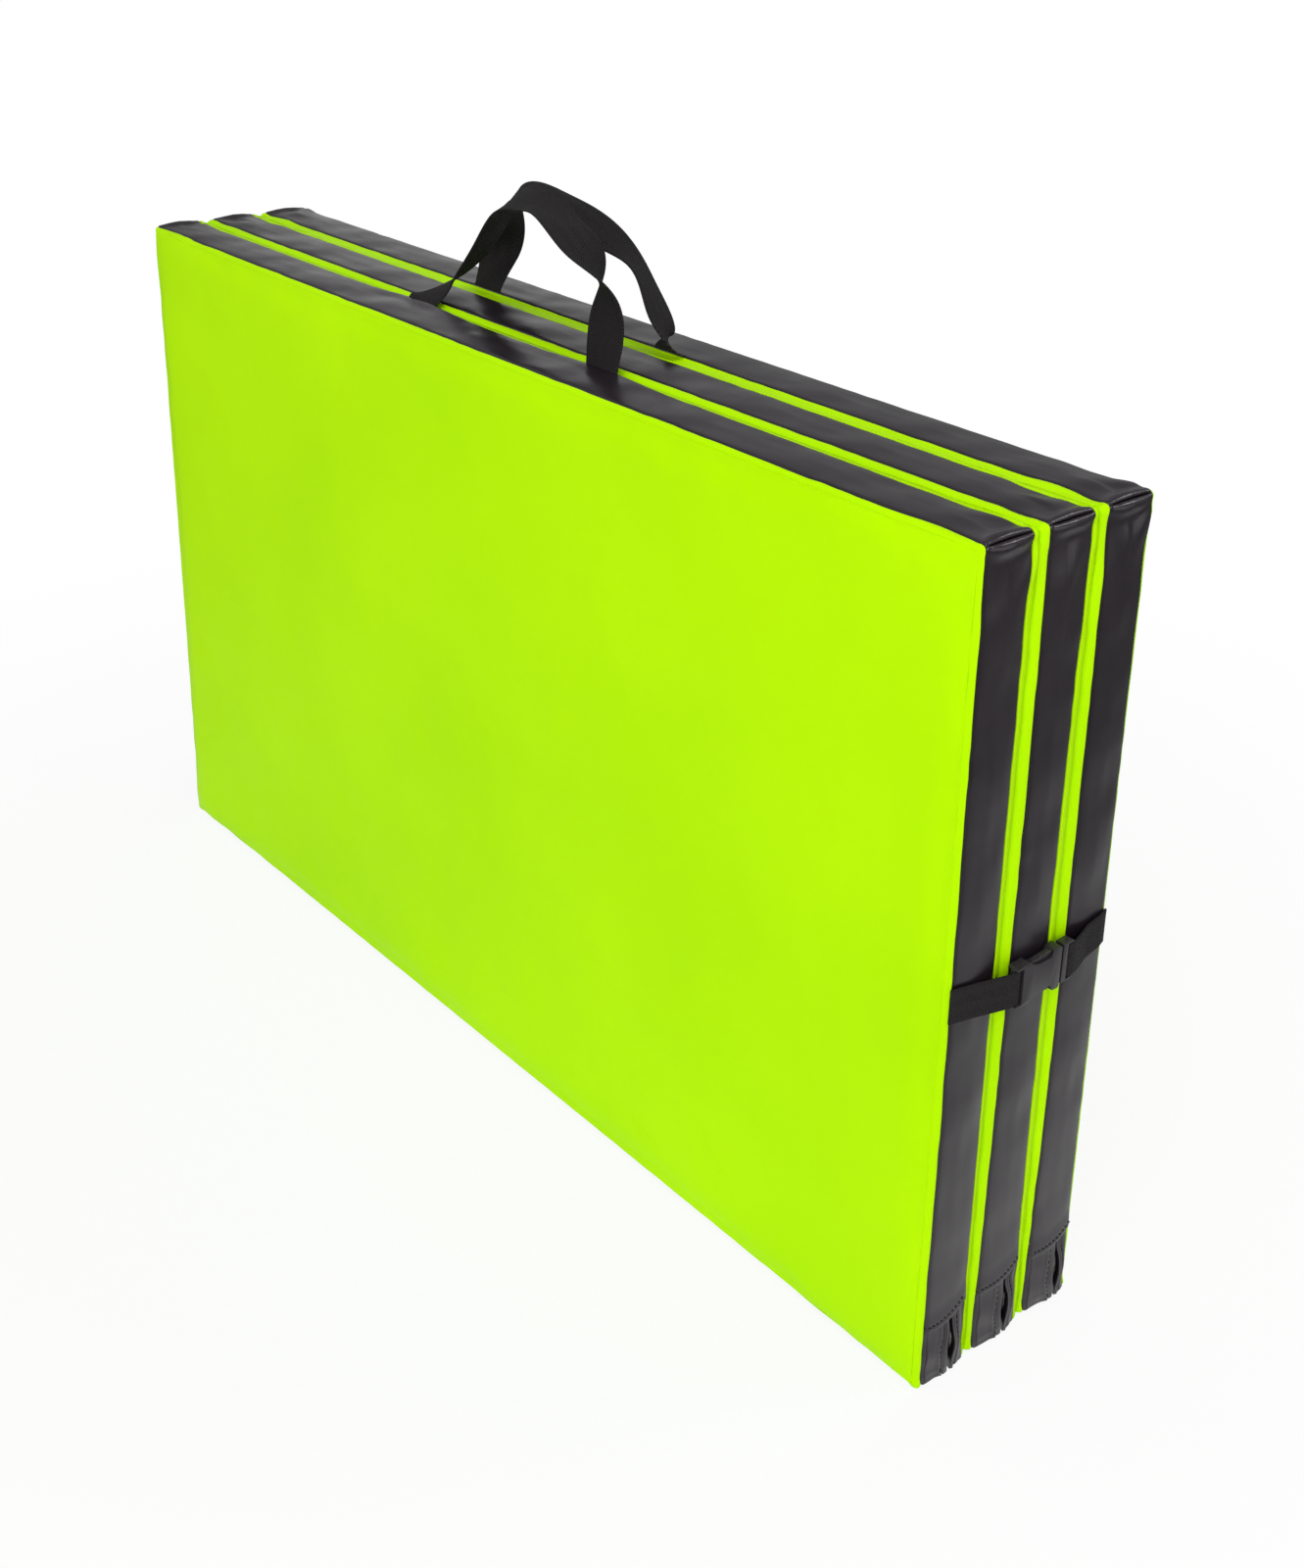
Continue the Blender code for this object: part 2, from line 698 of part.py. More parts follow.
def arm_half_thickness():
    """Half of what enters the socket's cavity, a fit gap clear of both its walls."""
    return BUCKLE_THICKNESS / 2 - BUCKLE_WALL - FIT_GAP


def arm_outer():
    """How far from the buckle's middle line the outer edge of a latch arm runs."""
    return SOCKET_HALF_WIDTH - SOCKET_SIDE_WALL - FIT_GAP


def latch_arm_mesh(name, sign, axis):
    """A latch arm with the pad that stands in the socket's notch, about its own hinge axis."""
    outer = arm_outer()
    inner = outer - ARM_WIDTH
    root = PLUG_FACE - ARM_ROOT_GAP
    outline = [
        (root, inner),
        (root, outer),
        (PAD_END, outer),
        (PAD_END, outer + PAD_RISE),
        ((PAD_START + PAD_END) / 2, outer + PAD_RISE * 0.6),
        (PAD_START, outer + PAD_RISE * 0.2),
        (ARM_TIP, outer - ARM_WIDTH / 2),
        (ARM_TIP, inner),
    ]
    placed = [(y - axis[1], sign * z - axis[2]) for y, z in outline]
    if sign > 0:
        placed.reverse()
    return buckle_plate(name, [placed], 2 * arm_half_thickness())


def add_strap(front_panel, rear_panel):
    """The closing strap's two webbings and its buckle, held on the right end of the stack."""
    face = HALF.x
    middle_x = face + BUCKLE_STAND_OFF + BUCKLE_THICKNESS / 2
    middle = (middle_x, BUCKLE_PLACE, BUCKLE_HEIGHT)
    half_strap = STRAP_THICKNESS / 2
    seam_x = face - SEAM_DROP + STRAP_STAND_OFF + half_strap
    run_x = face + STRAP_STAND_OFF + half_strap
    over_bar = middle_x + STRAP_BAR / 2 + FIT_GAP + half_strap
    seam = PITCH + SEAM_Y
    socket_end = BUCKLE_PLACE + SOCKET_END
    socket_slot = socket_end + STRAP_BAR + STRAP_SLOT / 2
    front_route = [
        (-seam - 0.0008, seam_x),
        (-seam + 0.006, run_x),
        (socket_end - 0.0165, run_x),
        (socket_end - 0.0080, run_x + 0.0012),
        (socket_end - 0.0032, over_bar - 0.0014),
        (socket_end - 0.0004, over_bar),
        (socket_slot - 0.0010, over_bar),
        (socket_slot - 0.0002, over_bar - 0.0002),
        (socket_slot + 0.0003, over_bar - 0.0009),
        (socket_slot + 0.0003, middle_x - 0.0008),
    ]
    front_heights = [
        STRAP_SEWN_HEIGHT,
        STRAP_SEWN_HEIGHT - 0.0010,
        BUCKLE_HEIGHT + 0.0012,
        BUCKLE_HEIGHT + 0.0002,
    ] + [BUCKLE_HEIGHT] * 6
    mesh = strap_mesh("strap_front_webbing", front_route, front_heights)
    thicken(place("strap_front_webbing", mesh, "webbing", (0, 0, 0), front_panel), STRAP_THICKNESS, 0)
    plug_base_end = BUCKLE_PLACE + PLUG_FACE + PLUG_BASE
    plug_end = plug_base_end + STRAP_SLOT + STRAP_BAR
    plug_slot = plug_base_end + STRAP_SLOT / 2
    rear_route = [
        (plug_slot - 0.0003, middle_x - 0.0008),
        (plug_slot - 0.0003, over_bar - 0.0009),
        (plug_slot + 0.0002, over_bar - 0.0002),
        (plug_slot + 0.0010, over_bar),
        (plug_end + 0.0004, over_bar),
        (plug_end + 0.0032, over_bar - 0.0014),
        (plug_end + 0.0080, run_x + 0.0012),
        (plug_end + 0.0130, run_x),
        (seam - 0.006, run_x),
        (seam + 0.0008, seam_x),
    ]
    rear_heights = [BUCKLE_HEIGHT] * 6 + [
        BUCKLE_HEIGHT + 0.0003,
        BUCKLE_HEIGHT + 0.0010,
        STRAP_SEWN_HEIGHT - 0.0006,
        STRAP_SEWN_HEIGHT,
    ]
    mesh = strap_mesh("strap_rear_webbing", rear_route, rear_heights)
    thicken(place("strap_rear_webbing", mesh, "webbing", (0, 0, 0), rear_panel), STRAP_THICKNESS, 0)
    place("buckle_socket", socket_mesh(), "buckle_plastic", middle, front_panel)
    slide = new_axis("buckle_release_axis", middle, rear_panel)
    place("buckle_plug", plug_mesh(), "buckle_plastic", middle, slide)
    axis_y = PLUG_FACE - ARM_ROOT_GAP - ARM_AXIS_INSET
    for name, sign in (("buckle_latch_upper", 1), ("buckle_latch_lower", -1)):
        axis = (0, axis_y, sign * (arm_outer() - ARM_WIDTH / 2))
        where = Vector(middle) + Vector(axis)
        hinge = new_axis(name + "_axis", where, slide)
        place(name, latch_arm_mesh(name, sign, axis), "buckle_plastic", where, hinge)


def build():
    meshes = cover_meshes()
    meshes["foam_core"] = foam_mesh()
    meshes["zip_chain"] = zip_chain_mesh()
    meshes["zip_slider"] = zip_slider_mesh()
    meshes["zip_pull"] = zip_pull_mesh()
    rear_panel = new_axis("rear_panel_base", (0, PITCH, 0))
    top_hinge = (0, PITCH / 2, PANEL_HEIGHT + HINGE_CLEARANCE)
    middle_panel = new_axis("fold_rear_axis", top_hinge, rear_panel)
    bottom_hinge = (0, -PITCH / 2, -HINGE_CLEARANCE)
    front_panel = new_axis("fold_front_axis", bottom_hinge, middle_panel)
    add_panel("front_panel", front_panel, -PITCH, meshes)
    add_panel("middle_panel", middle_panel, 0, meshes)
    add_panel("rear_panel", rear_panel, PITCH, meshes)
    add_hinge_strips(middle_panel)
    add_handles(front_panel, rear_panel)
    add_strap(front_panel, rear_panel)


clear_scene()
PARTS = new_collection("folding_mat")
CUTTERS = new_collection("cutters")
MATERIALS = {name: new_material(name) for name in COLOURS}
build()
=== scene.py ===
"""Looks of a folding gymnastics mat: three padded vinyl panels in a zigzag, two webbing
handles and a strap with a side-release buckle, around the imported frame.

Metres, +Z up. X runs along the mat and Y through the folded stack. A panel's side is
worked out on two parameters: s, the way round its outline from the middle of the bottom
towards the right end, and y, the place across its thickness.
"""

import math

import bmesh
import bpy
import numpy as np
from mathutils import Matrix, Vector


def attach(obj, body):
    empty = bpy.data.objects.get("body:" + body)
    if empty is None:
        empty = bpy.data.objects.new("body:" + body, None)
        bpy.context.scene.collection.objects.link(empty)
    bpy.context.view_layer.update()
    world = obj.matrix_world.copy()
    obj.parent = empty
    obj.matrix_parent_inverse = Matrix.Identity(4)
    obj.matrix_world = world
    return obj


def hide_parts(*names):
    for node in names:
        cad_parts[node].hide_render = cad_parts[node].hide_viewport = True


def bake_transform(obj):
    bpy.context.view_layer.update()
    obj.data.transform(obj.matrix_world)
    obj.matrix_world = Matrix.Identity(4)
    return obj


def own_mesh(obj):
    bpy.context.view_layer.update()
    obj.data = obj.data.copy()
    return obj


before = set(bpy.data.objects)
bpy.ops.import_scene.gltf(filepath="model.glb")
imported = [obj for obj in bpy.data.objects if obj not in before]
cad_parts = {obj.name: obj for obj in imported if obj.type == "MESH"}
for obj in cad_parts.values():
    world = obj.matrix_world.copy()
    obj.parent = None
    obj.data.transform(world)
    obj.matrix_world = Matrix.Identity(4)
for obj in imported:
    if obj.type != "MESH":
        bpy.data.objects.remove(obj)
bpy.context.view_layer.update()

# Panels
HALF_LENGTH = 0.500
HEIGHT = 0.600
HALF_THICKNESS = 0.025
PITCH = 0.0543
CORNER = 0.006
RIM_INSET = 0.0042
RIM_START = 0.0192
FACE_LEVEL = 0.0236
INNER_LEVEL = {-1: 0.0274, 1: 0.0252}
INNER_INSET = {-1: 0.0032, 1: 0.0012}
SEAM = 0.0198
SIDE_CROWN = 0.0015
COVER_THICKNESS = 0.0008
DRAW_IN_REACH = 0.035
# The cover stays this far over the floor
LOWEST = 0.0004
PANELS = {"front": -PITCH, "middle": 0.0, "rear": PITCH}
ORDER = {panel: place for place, panel in enumerate(PANELS)}
# How each panel's cover is turned: end for end, front to back
TURNED = {"front": (1, 1), "middle": (-1, 1), "rear": (1, -1)}
# Faces folded against a neighbour
INNER = {("front", 1), ("middle", -1), ("middle", 1), ("rear", -1)}

# Width and thickness of the handles' and the strap's webbing
HANDLE_SIZE = (0.035, 0.0016)
STRAP_SIZE = (0.025, 0.0015)
# How far a side has fallen at its seams, and a handle's foot stands over it there
SEAM_DROP = 0.00096
FOOT_GAP = 0.0011

# The strap and the buckle off the panels' ends, and the buckle along Y from its middle
STRAP_STAND_OFF = 0.0004
BUCKLE_STAND_OFF = 0.0012
BUCKLE_THICKNESS = 0.0086
BUCKLE_PLACE = -0.0050
SOCKET_END = -0.0195
PLUG_FACE = 0.0263
PLUG_BASE = 0.0047
# The bar that a webbing is looped over, its slot, and the gap between bar and webbing
STRAP_BAR = 0.0032
STRAP_SLOT = 0.0035
FIT_GAP = 0.0003

# Zip closure along the bottom and a little way up both ends
SLOT_MIDDLE = 0.0070
SLOT_HALF = 0.0040
CLOSURE_HEIGHT = 0.050
TAPE_DEPTH = 0.0053

STRAIGHT = HALF_LENGTH - CORNER
ARC = CORNER * math.pi / 2
END_RUN = HEIGHT - 2 * CORNER
MARKS = np.cumsum([0, STRAIGHT, ARC, END_RUN, ARC, 2 * STRAIGHT, ARC, END_RUN, ARC, STRAIGHT])
# How far two covers keep apart at a corner seam
HAIR = 0.00001
ROUND = MARKS[-1]
TOP_RIGHT = (MARKS[3] + MARKS[4]) / 2
TOP_LEFT = (MARKS[5] + MARKS[6]) / 2
BOTTOM_RIGHT = (MARKS[1] + MARKS[2]) / 2
BOTTOM_LEFT = (MARKS[7] + MARKS[8]) / 2


# Small tools


def smooth(edge0, edge1, value):
    """0 before edge0, 1 after edge1, and the S-curve 3t^2 - 2t^3 between."""
    t = np.clip((value - edge0) / (edge1 - edge0), 0, 1)
    return t * t * (3 - 2 * t)


def bump_at(value, centre, width):
    """A bell, 1 at the centre and falling as exp(-d^2) with this width."""
    return np.exp(-(((value - centre) / width) ** 2))


def crease(distance, width):
    """A sharp valley: (1 - d/w)^2 within its width and 0 outside."""
    return np.clip(1 - np.abs(distance) / width, 0, 1) ** 2


def waver(along, lengths, seed, whole=None):
    """A soft wandering line between -1 and 1: a mean of sine waves of the given lengths; each
    fits a whole number of times in the whole length, where one is given."""
    if whole:
        lengths = [whole / round(whole / length) for length in lengths]
    phases = np.random.default_rng(seed).uniform(0, 2 * math.pi, len(lengths))
    waves = [np.sin(2 * math.pi * along / length + phase) for length, phase in zip(lengths, phases)]
    return sum(waves) / len(lengths)


def waves_over(u, v, length, seed, count=7):
    """Soft hills on a plane: plane waves of about one length, each in its own direction."""
    rng = np.random.default_rng(seed)
    total = 0.0
    for turn, phase, share in rng.uniform(0, 1, (count, 3)):
        k = 2 * math.pi / (length * (0.7 + 0.6 * share))
        angle = 2 * math.pi * turn
        total = total + np.sin(k * (u * math.cos(angle) + v * math.sin(angle)) + 2 * math.pi * phase)
    return total / count


def stations(low, high, near, far, reach):
    """Places from low to high, this near each other at both ends and this far in the middle."""
    fine = np.linspace(low, high, 4000)
    step = near + (far - near) * smooth(0, reach, np.minimum(fine - low, high - fine))
    count = np.r_[0, np.cumsum(np.diff(fine) / ((step[1:] + step[:-1]) / 2))]
    return np.interp(np.linspace(0, count[-1], round(count[-1]) + 1), count, fine)


def sample(field, us, vs, u, v):
    """The value of a grid of vectors at u, v, straight between its stations."""
    i = np.clip(np.searchsorted(us, u) - 1, 0, len(us) - 2)
    j = np.clip(np.searchsorted(vs, v) - 1, 0, len(vs) - 2)
    a = np.clip((u - us[i]) / (us[i + 1] - us[i]), 0, 1)[..., None]
    b = np.clip((v - vs[j]) / (vs[j + 1] - vs[j]), 0, 1)[..., None]
    low = field[i, j] * (1 - b) + field[i, j + 1] * b
    high = field[i + 1, j] * (1 - b) + field[i + 1, j + 1] * b
    return low * (1 - a) + high * a


def spline(knots, count):
    """Points on the natural cubic spline through evenly spaced knots."""
    knots = np.asarray(knots, float)
    last = len(knots) - 1
    system, right = np.eye(last + 1), np.zeros_like(knots)
    for i in range(1, last):
        system[i, i - 1 : i + 2] = (1, 4, 1)
        right[i] = 6 * (knots[i - 1] - 2 * knots[i] + knots[i + 1])
    bend = np.linalg.solve(system, right)
    along = np.linspace(0, last, count)
    left = np.minimum(along.astype(int), last - 1)
    b = (along - left).reshape((-1,) + (1,) * (knots.ndim - 1))
    a = 1 - b
    straight = a * knots[left] + b * knots[left + 1]
    return straight + ((a**3 - a) * bend[left] + (b**3 - b) * bend[left + 1]) / 6


def unit(vectors):
    """Vectors of the same directions, one long."""
    return vectors / np.linalg.norm(vectors, axis=-1, keepdims=True)


def xyz(x, y, z):
    """Points of these coordinates, spread to one shape."""
    return np.stack(np.broadcast_arrays(x, y, z), -1)


def distances(line):
    """How far along a line each of its points lies."""
    return np.r_[0, np.cumsum(np.linalg.norm(np.diff(line, axis=0), axis=1))]


def grid_faces(nu, nv, flip=False, round_v=False):
    """The four-sided faces of an nu by nv grid of points; a round v joins its last to its first."""
    i, j = np.meshgrid(np.arange(nu - 1), np.arange(nv - (not round_v)), indexing="ij")
    i2, j2 = i + 1, (j + 1) % nv
    quads = np.stack([i * nv + j, i2 * nv + j, i2 * nv + j2, i * nv + j2], -1).reshape(-1, 4)
    return quads[:, ::-1] if flip else quads


def ring_faces(rows):
    """The faces that join each closed row of points to the next."""
    return [np.stack([a, b, np.roll(b, -1), np.roll(a, -1)], -1) for a, b in zip(rows, rows[1:])]


# Directions round a six-sided bar
SIXTHS = np.linspace(0, 2 * math.pi, 6, endpoint=False)


def bar_faces(bars, rings, flip=False):
    """The faces of many six-sided bars of this many rings each, closed at both ends."""
    caps = np.array([[0, 1, 2, 3], [0, 3, 4, 5]])
    one = np.concatenate([grid_faces(rings, 6, round_v=True), caps, 6 * (rings - 1) + caps[:, ::-1]])
    one = one[:, ::-1] if flip else one
    return (6 * rings * np.arange(bars)[:, None, None] + one).reshape(-1, 4)


def show(name, data):
    """Adds an object of this data to the scene."""
    obj = bpy.data.objects.new(name, data)
    bpy.context.scene.collection.objects.link(obj)
    return obj


def assign(name, mesh, material, body, node):
    """A smooth-shaded piece of this mesh, riding on its body and standing for its node."""
    mesh.materials.append(material)
    mesh.shade_smooth()
    obj = show(name, mesh)
    if body:
        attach(obj, body)
    if node:
        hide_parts(node)
    return obj


def new_piece(name, points, faces, material, body=None, slot=None, node=None, uv=None):
    """A piece of these points and faces, in place."""
    mesh = bpy.data.meshes.new(name)
    groups = [faces] if isinstance(faces, np.ndarray) else faces
    mesh.from_pydata(np.asarray(points, float).reshape(-1, 3), [], [f for g in groups for f in g.tolist()])
    if uv is not None:
        corner = np.empty(len(mesh.loops), np.int32)
        mesh.loops.foreach_get("vertex_index", corner)
        layer = mesh.uv_layers.new(name="weave")
        layer.data.foreach_set("uv", np.asarray(uv, float).reshape(-1, 2)[corner].ravel())
    mesh.validate()
    return assign(name, mesh, material, body, node)


def thicken(obj, thickness=COVER_THICKNESS):
    """Gives a sheet its thickness, inwards."""
    step = obj.modifiers.new("thickness", "SOLIDIFY")
    step.thickness, step.offset = thickness, -1.0
    return obj


# Materials


def linear(code):
    """An sRGB hex colour as linear RGBA."""
    parts = [int(code[i : i + 2], 16) / 255 for i in (1, 3, 5)]
    return (*(c / 12.92 if c <= 0.04045 else ((c + 0.055) / 1.055) ** 2.4 for c in parts), 1.0)


def feed(node, inputs):
    """Sets a node's inputs: each is a value or the socket that feeds it."""
    for name, value in inputs.items():
        if isinstance(value, bpy.types.NodeSocket):
            node.id_data.links.new(value, node.inputs[name])
        else:
            node.inputs[name].default_value = value


def add(tree, kind, inputs=None, out=0, **settings):
    """Adds a shader node with its settings and inputs, and gives one of its outputs."""
    made = tree.nodes.new("ShaderNode" + kind)
    for name, value in settings.items():
        setattr(made, name, value)
    feed(made, inputs or {})
    return made.outputs[out]


def new_finish(name, constants):
    """A material with its shader's constant sockets set, and its tree and shader."""
    made = bpy.data.materials.new(name)
    made.use_nodes = True
    shader = made.node_tree.nodes["Principled BSDF"]
    feed(shader, constants)
    return made, made.node_tree, shader


def calendered_pvc(name, deep, light, scuff, roughness, grain_height, specular):
    """PVC calendered on to polyester cloth: a tight sheet with a soft sheen, a pressed grain of
    pebbles 1.5 mm across (0.5 mm in life, drawn coarser so that it shows) and a faint print of
    the cloth's 1.1 mm threads; handling leaves broad patches that are a little duller."""
    made, tree, shader = new_finish(name, {"Specular IOR Level": specular})
    place = add(tree, "TexCoord", out="Object")
    cloud = add(tree, "TexNoise", {"Vector": place, "Scale": 5.0, "Detail": 3.0})
    tint = add(tree, "ValToRGB", {"Fac": cloud})
    for stop, position, code in zip(tint.node.color_ramp.elements, (0.3, 0.7), (deep, light)):
        stop.position, stop.color = position, linear(code)
    rub = add(tree, "TexNoise", {"Vector": place, "Scale": 22.0, "Detail": 5.0, "Roughness": 0.62})
    rubbed = add(tree, "MapRange", {"Value": rub, "From Min": 0.58, "From Max": 0.8})
    colour = add(tree, "Mix", {"Factor": rubbed, "A": tint, "B": linear(scuff)}, "Result", data_type="RGBA")
    sheen = {"From Min": 0.3, "From Max": 0.75, "To Min": roughness - 0.05, "To Max": roughness + 0.08}
    dulled = add(tree, "MapRange", {"Value": rub, **sheen})
    pebble = {"Scale": 660.0, "Smoothness": 0.6}
    pebbles = add(tree, "TexVoronoi", {"Vector": place, **pebble}, feature="SMOOTH_F1")
    cloth = {"Scale": 450.0, "Mortar Size": 0.08, "Mortar Smooth": 1.0}
    threads = add(tree, "TexBrick", {"Vector": place, **cloth}, "Fac")
    fine = add(tree, "TexNoise", {"Vector": place, "Scale": 1500.0, "Detail": 2.0})
    grain = add(tree, "Math", {0: pebbles, 1: 0.7, 2: fine}, operation="MULTIPLY_ADD")
    woven = add(tree, "Math", {0: threads, 1: -0.18, 2: grain}, operation="MULTIPLY_ADD")
    press = add(tree, "Bump", {"Height": woven, "Strength": 0.35, "Distance": grain_height})
    feed(shader, {"Base Color": colour, "Roughness": dulled, "Normal": press})
    return made


def woven_webbing(name, deep, light):
    """Polypropylene webbing, woven in a herringbone: ribs of yarn 2.2 mm apart (1.2 mm in life,
    drawn coarser so that they show) that lean one way and then the other every 5 mm across; the
    colour follows their height, with painted shade dark in the valley between them and lighter on
    their tops, and the filaments' random tone mixed in; finer filaments along each and a dull,
    slightly hairy surface."""
    made, tree, shader = new_finish(name, {"Roughness": 0.74, "Specular IOR Level": 0.2})
    weave = add(tree, "UVMap", uv_map="weave")
    parts = add(tree, "SeparateXYZ", {"Vector": weave}).node.outputs
    lean = add(tree, "Math", {0: parts["Y"], 1: 0.005}, operation="PINGPONG")
    slant = add(tree, "Math", {0: lean, 1: 1.1, 2: parts["X"]}, operation="MULTIPLY_ADD")
    turn = add(tree, "Math", {0: slant, 1: 2 * math.pi / 0.0022}, operation="MULTIPLY")
    rib = add(tree, "Math", {0: turn}, operation="SINE")
    hair = add(tree, "TexNoise", {"Vector": weave, "Scale": 900.0, "Detail": 4.0})
    height = add(tree, "Math", {0: hair, 1: 0.9, 2: rib}, operation="MULTIPLY_ADD")
    # Painted shade: the colour follows the height, dark in the valleys between the ribs and light on their
    # tops; the filament noise in the height adds random tone
    painted_valley_shade = add(tree, "MapRange", {"Value": height, "From Min": -0.9, "From Max": 1.7})
    colours = {"Factor": painted_valley_shade, "A": linear(deep), "B": linear(light)}
    colour = add(tree, "Mix", colours, "Result", data_type="RGBA")
    press = add(tree, "Bump", {"Height": height, "Strength": 0.9, "Distance": 0.00035})
    feed(shader, {"Base Color": colour, "Normal": press})
    return made


def grained(name, deep, light, grain, height, roughness, constants=None):
    """A moulded, foamed, twisted or lacquered surface: two close colours mottled by a grain of
    this size in metres, which also lifts the surface by the height and varies its gloss."""
    made, tree, shader = new_finish(name, constants or {})
    place = add(tree, "TexCoord", out="Object")
    speck = add(tree, "TexNoise", {"Vector": place, "Scale": 1 / grain, "Detail": 4.0, "Roughness": 0.6})
    patch = add(tree, "TexNoise", {"Vector": place, "Scale": 0.06 / grain, "Detail": 3.0})
    both = add(tree, "Math", {0: speck, 1: 0.5, 2: patch}, operation="MULTIPLY_ADD")
    mottle = add(tree, "MapRange", {"Value": both, "From Min": 0.5, "From Max": 1.0})
    colours = {"Factor": mottle, "A": linear(deep), "B": linear(light)}
    colour = add(tree, "Mix", colours, "Result", data_type="RGBA")
    gloss = add(tree, "MapRange", {"Value": patch, "To Min": roughness - 0.06, "To Max": roughness + 0.06})
    press = add(tree, "Bump", {"Height": speck, "Strength": 0.5, "Distance": height})
    feed(shader, {"Base Color": colour, "Roughness": gloss, "Normal": press})
    return made


LIME_PVC = calendered_pvc("lime_calendered_pvc", "#B3EF00", "#BCF700", "#B9F200", 0.42, 0.00004, 0.03)
BLACK_PVC = calendered_pvc("black_calendered_pvc", "#1A141A", "#221B22", "#272027", 0.31, 0.00006, 0.5)
WEBBING = woven_webbing("polypropylene_webbing", "#070607", "#2F2B2D")
# Acetal moulded in a spark-eroded tool: dark, evenly matt, with a fine orange-peel grain
ACETAL = grained("moulded_acetal", "#231F23", "#2B272B", 0.0011, 0.00003, 0.4, {"Specular IOR Level": 0.45})
# Cut polyurethane foam: open cells about a millimetre across, dull and slightly yellowed
FOAM = grained("open_cell_polyurethane_foam", "#D8D4C6", "#EDEADF", 0.0012, 0.0004, 0.9)
# Woven polyester zip tape: close, dull and nearly black
ZIP_TAPE = grained("woven_polyester_tape", "#141314", "#232223", 0.0009, 0.0001, 0.75)
# Nylon coil: extruded, heat-set monofilament with a soft gloss
ZIP_COIL = grained("extruded_nylon_coil", "#1B1A1B", "#2C2A2C", 0.0006, 0.00002, 0.4)
# Die-cast zinc under black lacquer, rubbed a little brighter where it is handled
ZIP_METAL = grained("lacquered_die_cast_zinc", "#2E2D2E", "#5A585A", 0.0008, 0.00002, 0.34, {"Metallic": 1.0})
# Bonded polyester sewing thread: twisted plies, dull black
THREAD = grained("bonded_polyester_thread", "#161517", "#343236", 0.0005, 0.00005, 0.6)


# Panel surface


def outline(s):
    """The outline's core point and outward direction at s.

    The core is the panel's rectangle drawn in by its corner radius; the direction turns a
    quarter at each corner, so core + direction * radius runs round the corner as an arc.
    """
    x = STRAIGHT * np.array([0, 1, 1, 1, 1, -1, -1, -1, -1, 0])
    low, high = CORNER, HEIGHT - CORNER
    z = np.array([low, low, low, high, high, high, high, low, low, low])
    turn = np.radians([-90, -90, 0, 0, 90, 90, 180, 180, 270, 270])
    s = np.mod(s, ROUND)
    angle = np.interp(s, MARKS, turn)
    return np.interp(s, MARKS, x), np.interp(s, MARKS, z), np.cos(angle), np.sin(angle)


def outward(s):
    """The outward direction at s."""
    nx, nz = outline(s)[2:]
    return xyz(nx, 0, nz)


def rim(panel, side):
    """Where a face meets its rim, and how far the rim turns in from the outline: drawn in on the
    outside; inside swollen towards its neighbour, and turned in less."""
    if (panel, side) in INNER:
        return INNER_LEVEL[side], INNER_INSET[side]
    return FACE_LEVEL, RIM_INSET


# Pulls where a handle is sewn in: panel, side, place along X, how far the seam is pulled
FOOT_PULLS = (
    ("front", 1, -0.1269, 0.0034),
    ("front", 1, 0.1037, 0.0022),
    ("rear", -1, -0.1342, 0.0016),
    ("rear", -1, 0.0942, 0.0016),
)

# Where each panel's two seams run at the right end, at its top, half height and bottom
END_SEAMS = {
    "front": ((-0.0202, -0.0184, -0.0178), (0.0197, 0.0210, 0.0241)),
    "middle": ((-0.0193, -0.0186, -0.0217), (0.0207, 0.0182, 0.0218)),
    "rear": ((-0.0200, -0.0191, -0.0230), (0.0204, 0.0202, 0.0199)),
}


def seam_line(panel, side, s):
    """Where a seam runs across the thickness: a waver about its middle place, and at the right
    end a parabola through the three places given for this panel."""
    seed = 10 + 2 * ORDER[panel] + (side > 0)
    line = side * SEAM + 0.0005 * waver(s, (0.31, 0.17, 0.083, 0.051), seed, ROUND)
    top, mid, low = END_SEAMS[panel][side > 0]
    t = (s - MARKS[2]) / END_RUN
    fitted = low + (4 * mid - 3 * low - top) * t + (2 * low + 2 * top - 4 * mid) * t * t
    at_end = smooth(MARKS[1] - 0.03, MARKS[2], s) * (1 - smooth(MARKS[3] - 0.03, MARKS[4], s))
    line += at_end * (fitted - side * SEAM)
    on_top = smooth(MARKS[3], MARKS[4] + 0.02, s) * (1 - smooth(MARKS[5] - 0.02, MARKS[6], s))
    if panel == "rear" and side > 0:
        line += 0.0016 * on_top
    along = MARKS[4] + STRAIGHT - s
    for owner, owner_side, x, pull in FOOT_PULLS:
        if (owner, owner_side) == (panel, side):
            line += side * pull * on_top * bump_at(along, x, 0.046)
    wave, place = np.random.default_rng(seed).uniform((0.0010, 0.028), (0.0022, 0.042))
    wave = 0.0 if panel == "rear" and side > 0 else wave
    for from_corner in (s - TOP_RIGHT, TOP_LEFT - s):
        line -= side * wave * bump_at(from_corner, place, 0.018)
        line += side * 0.0009 * bump_at(from_corner, 0.0, 0.010)
    return line


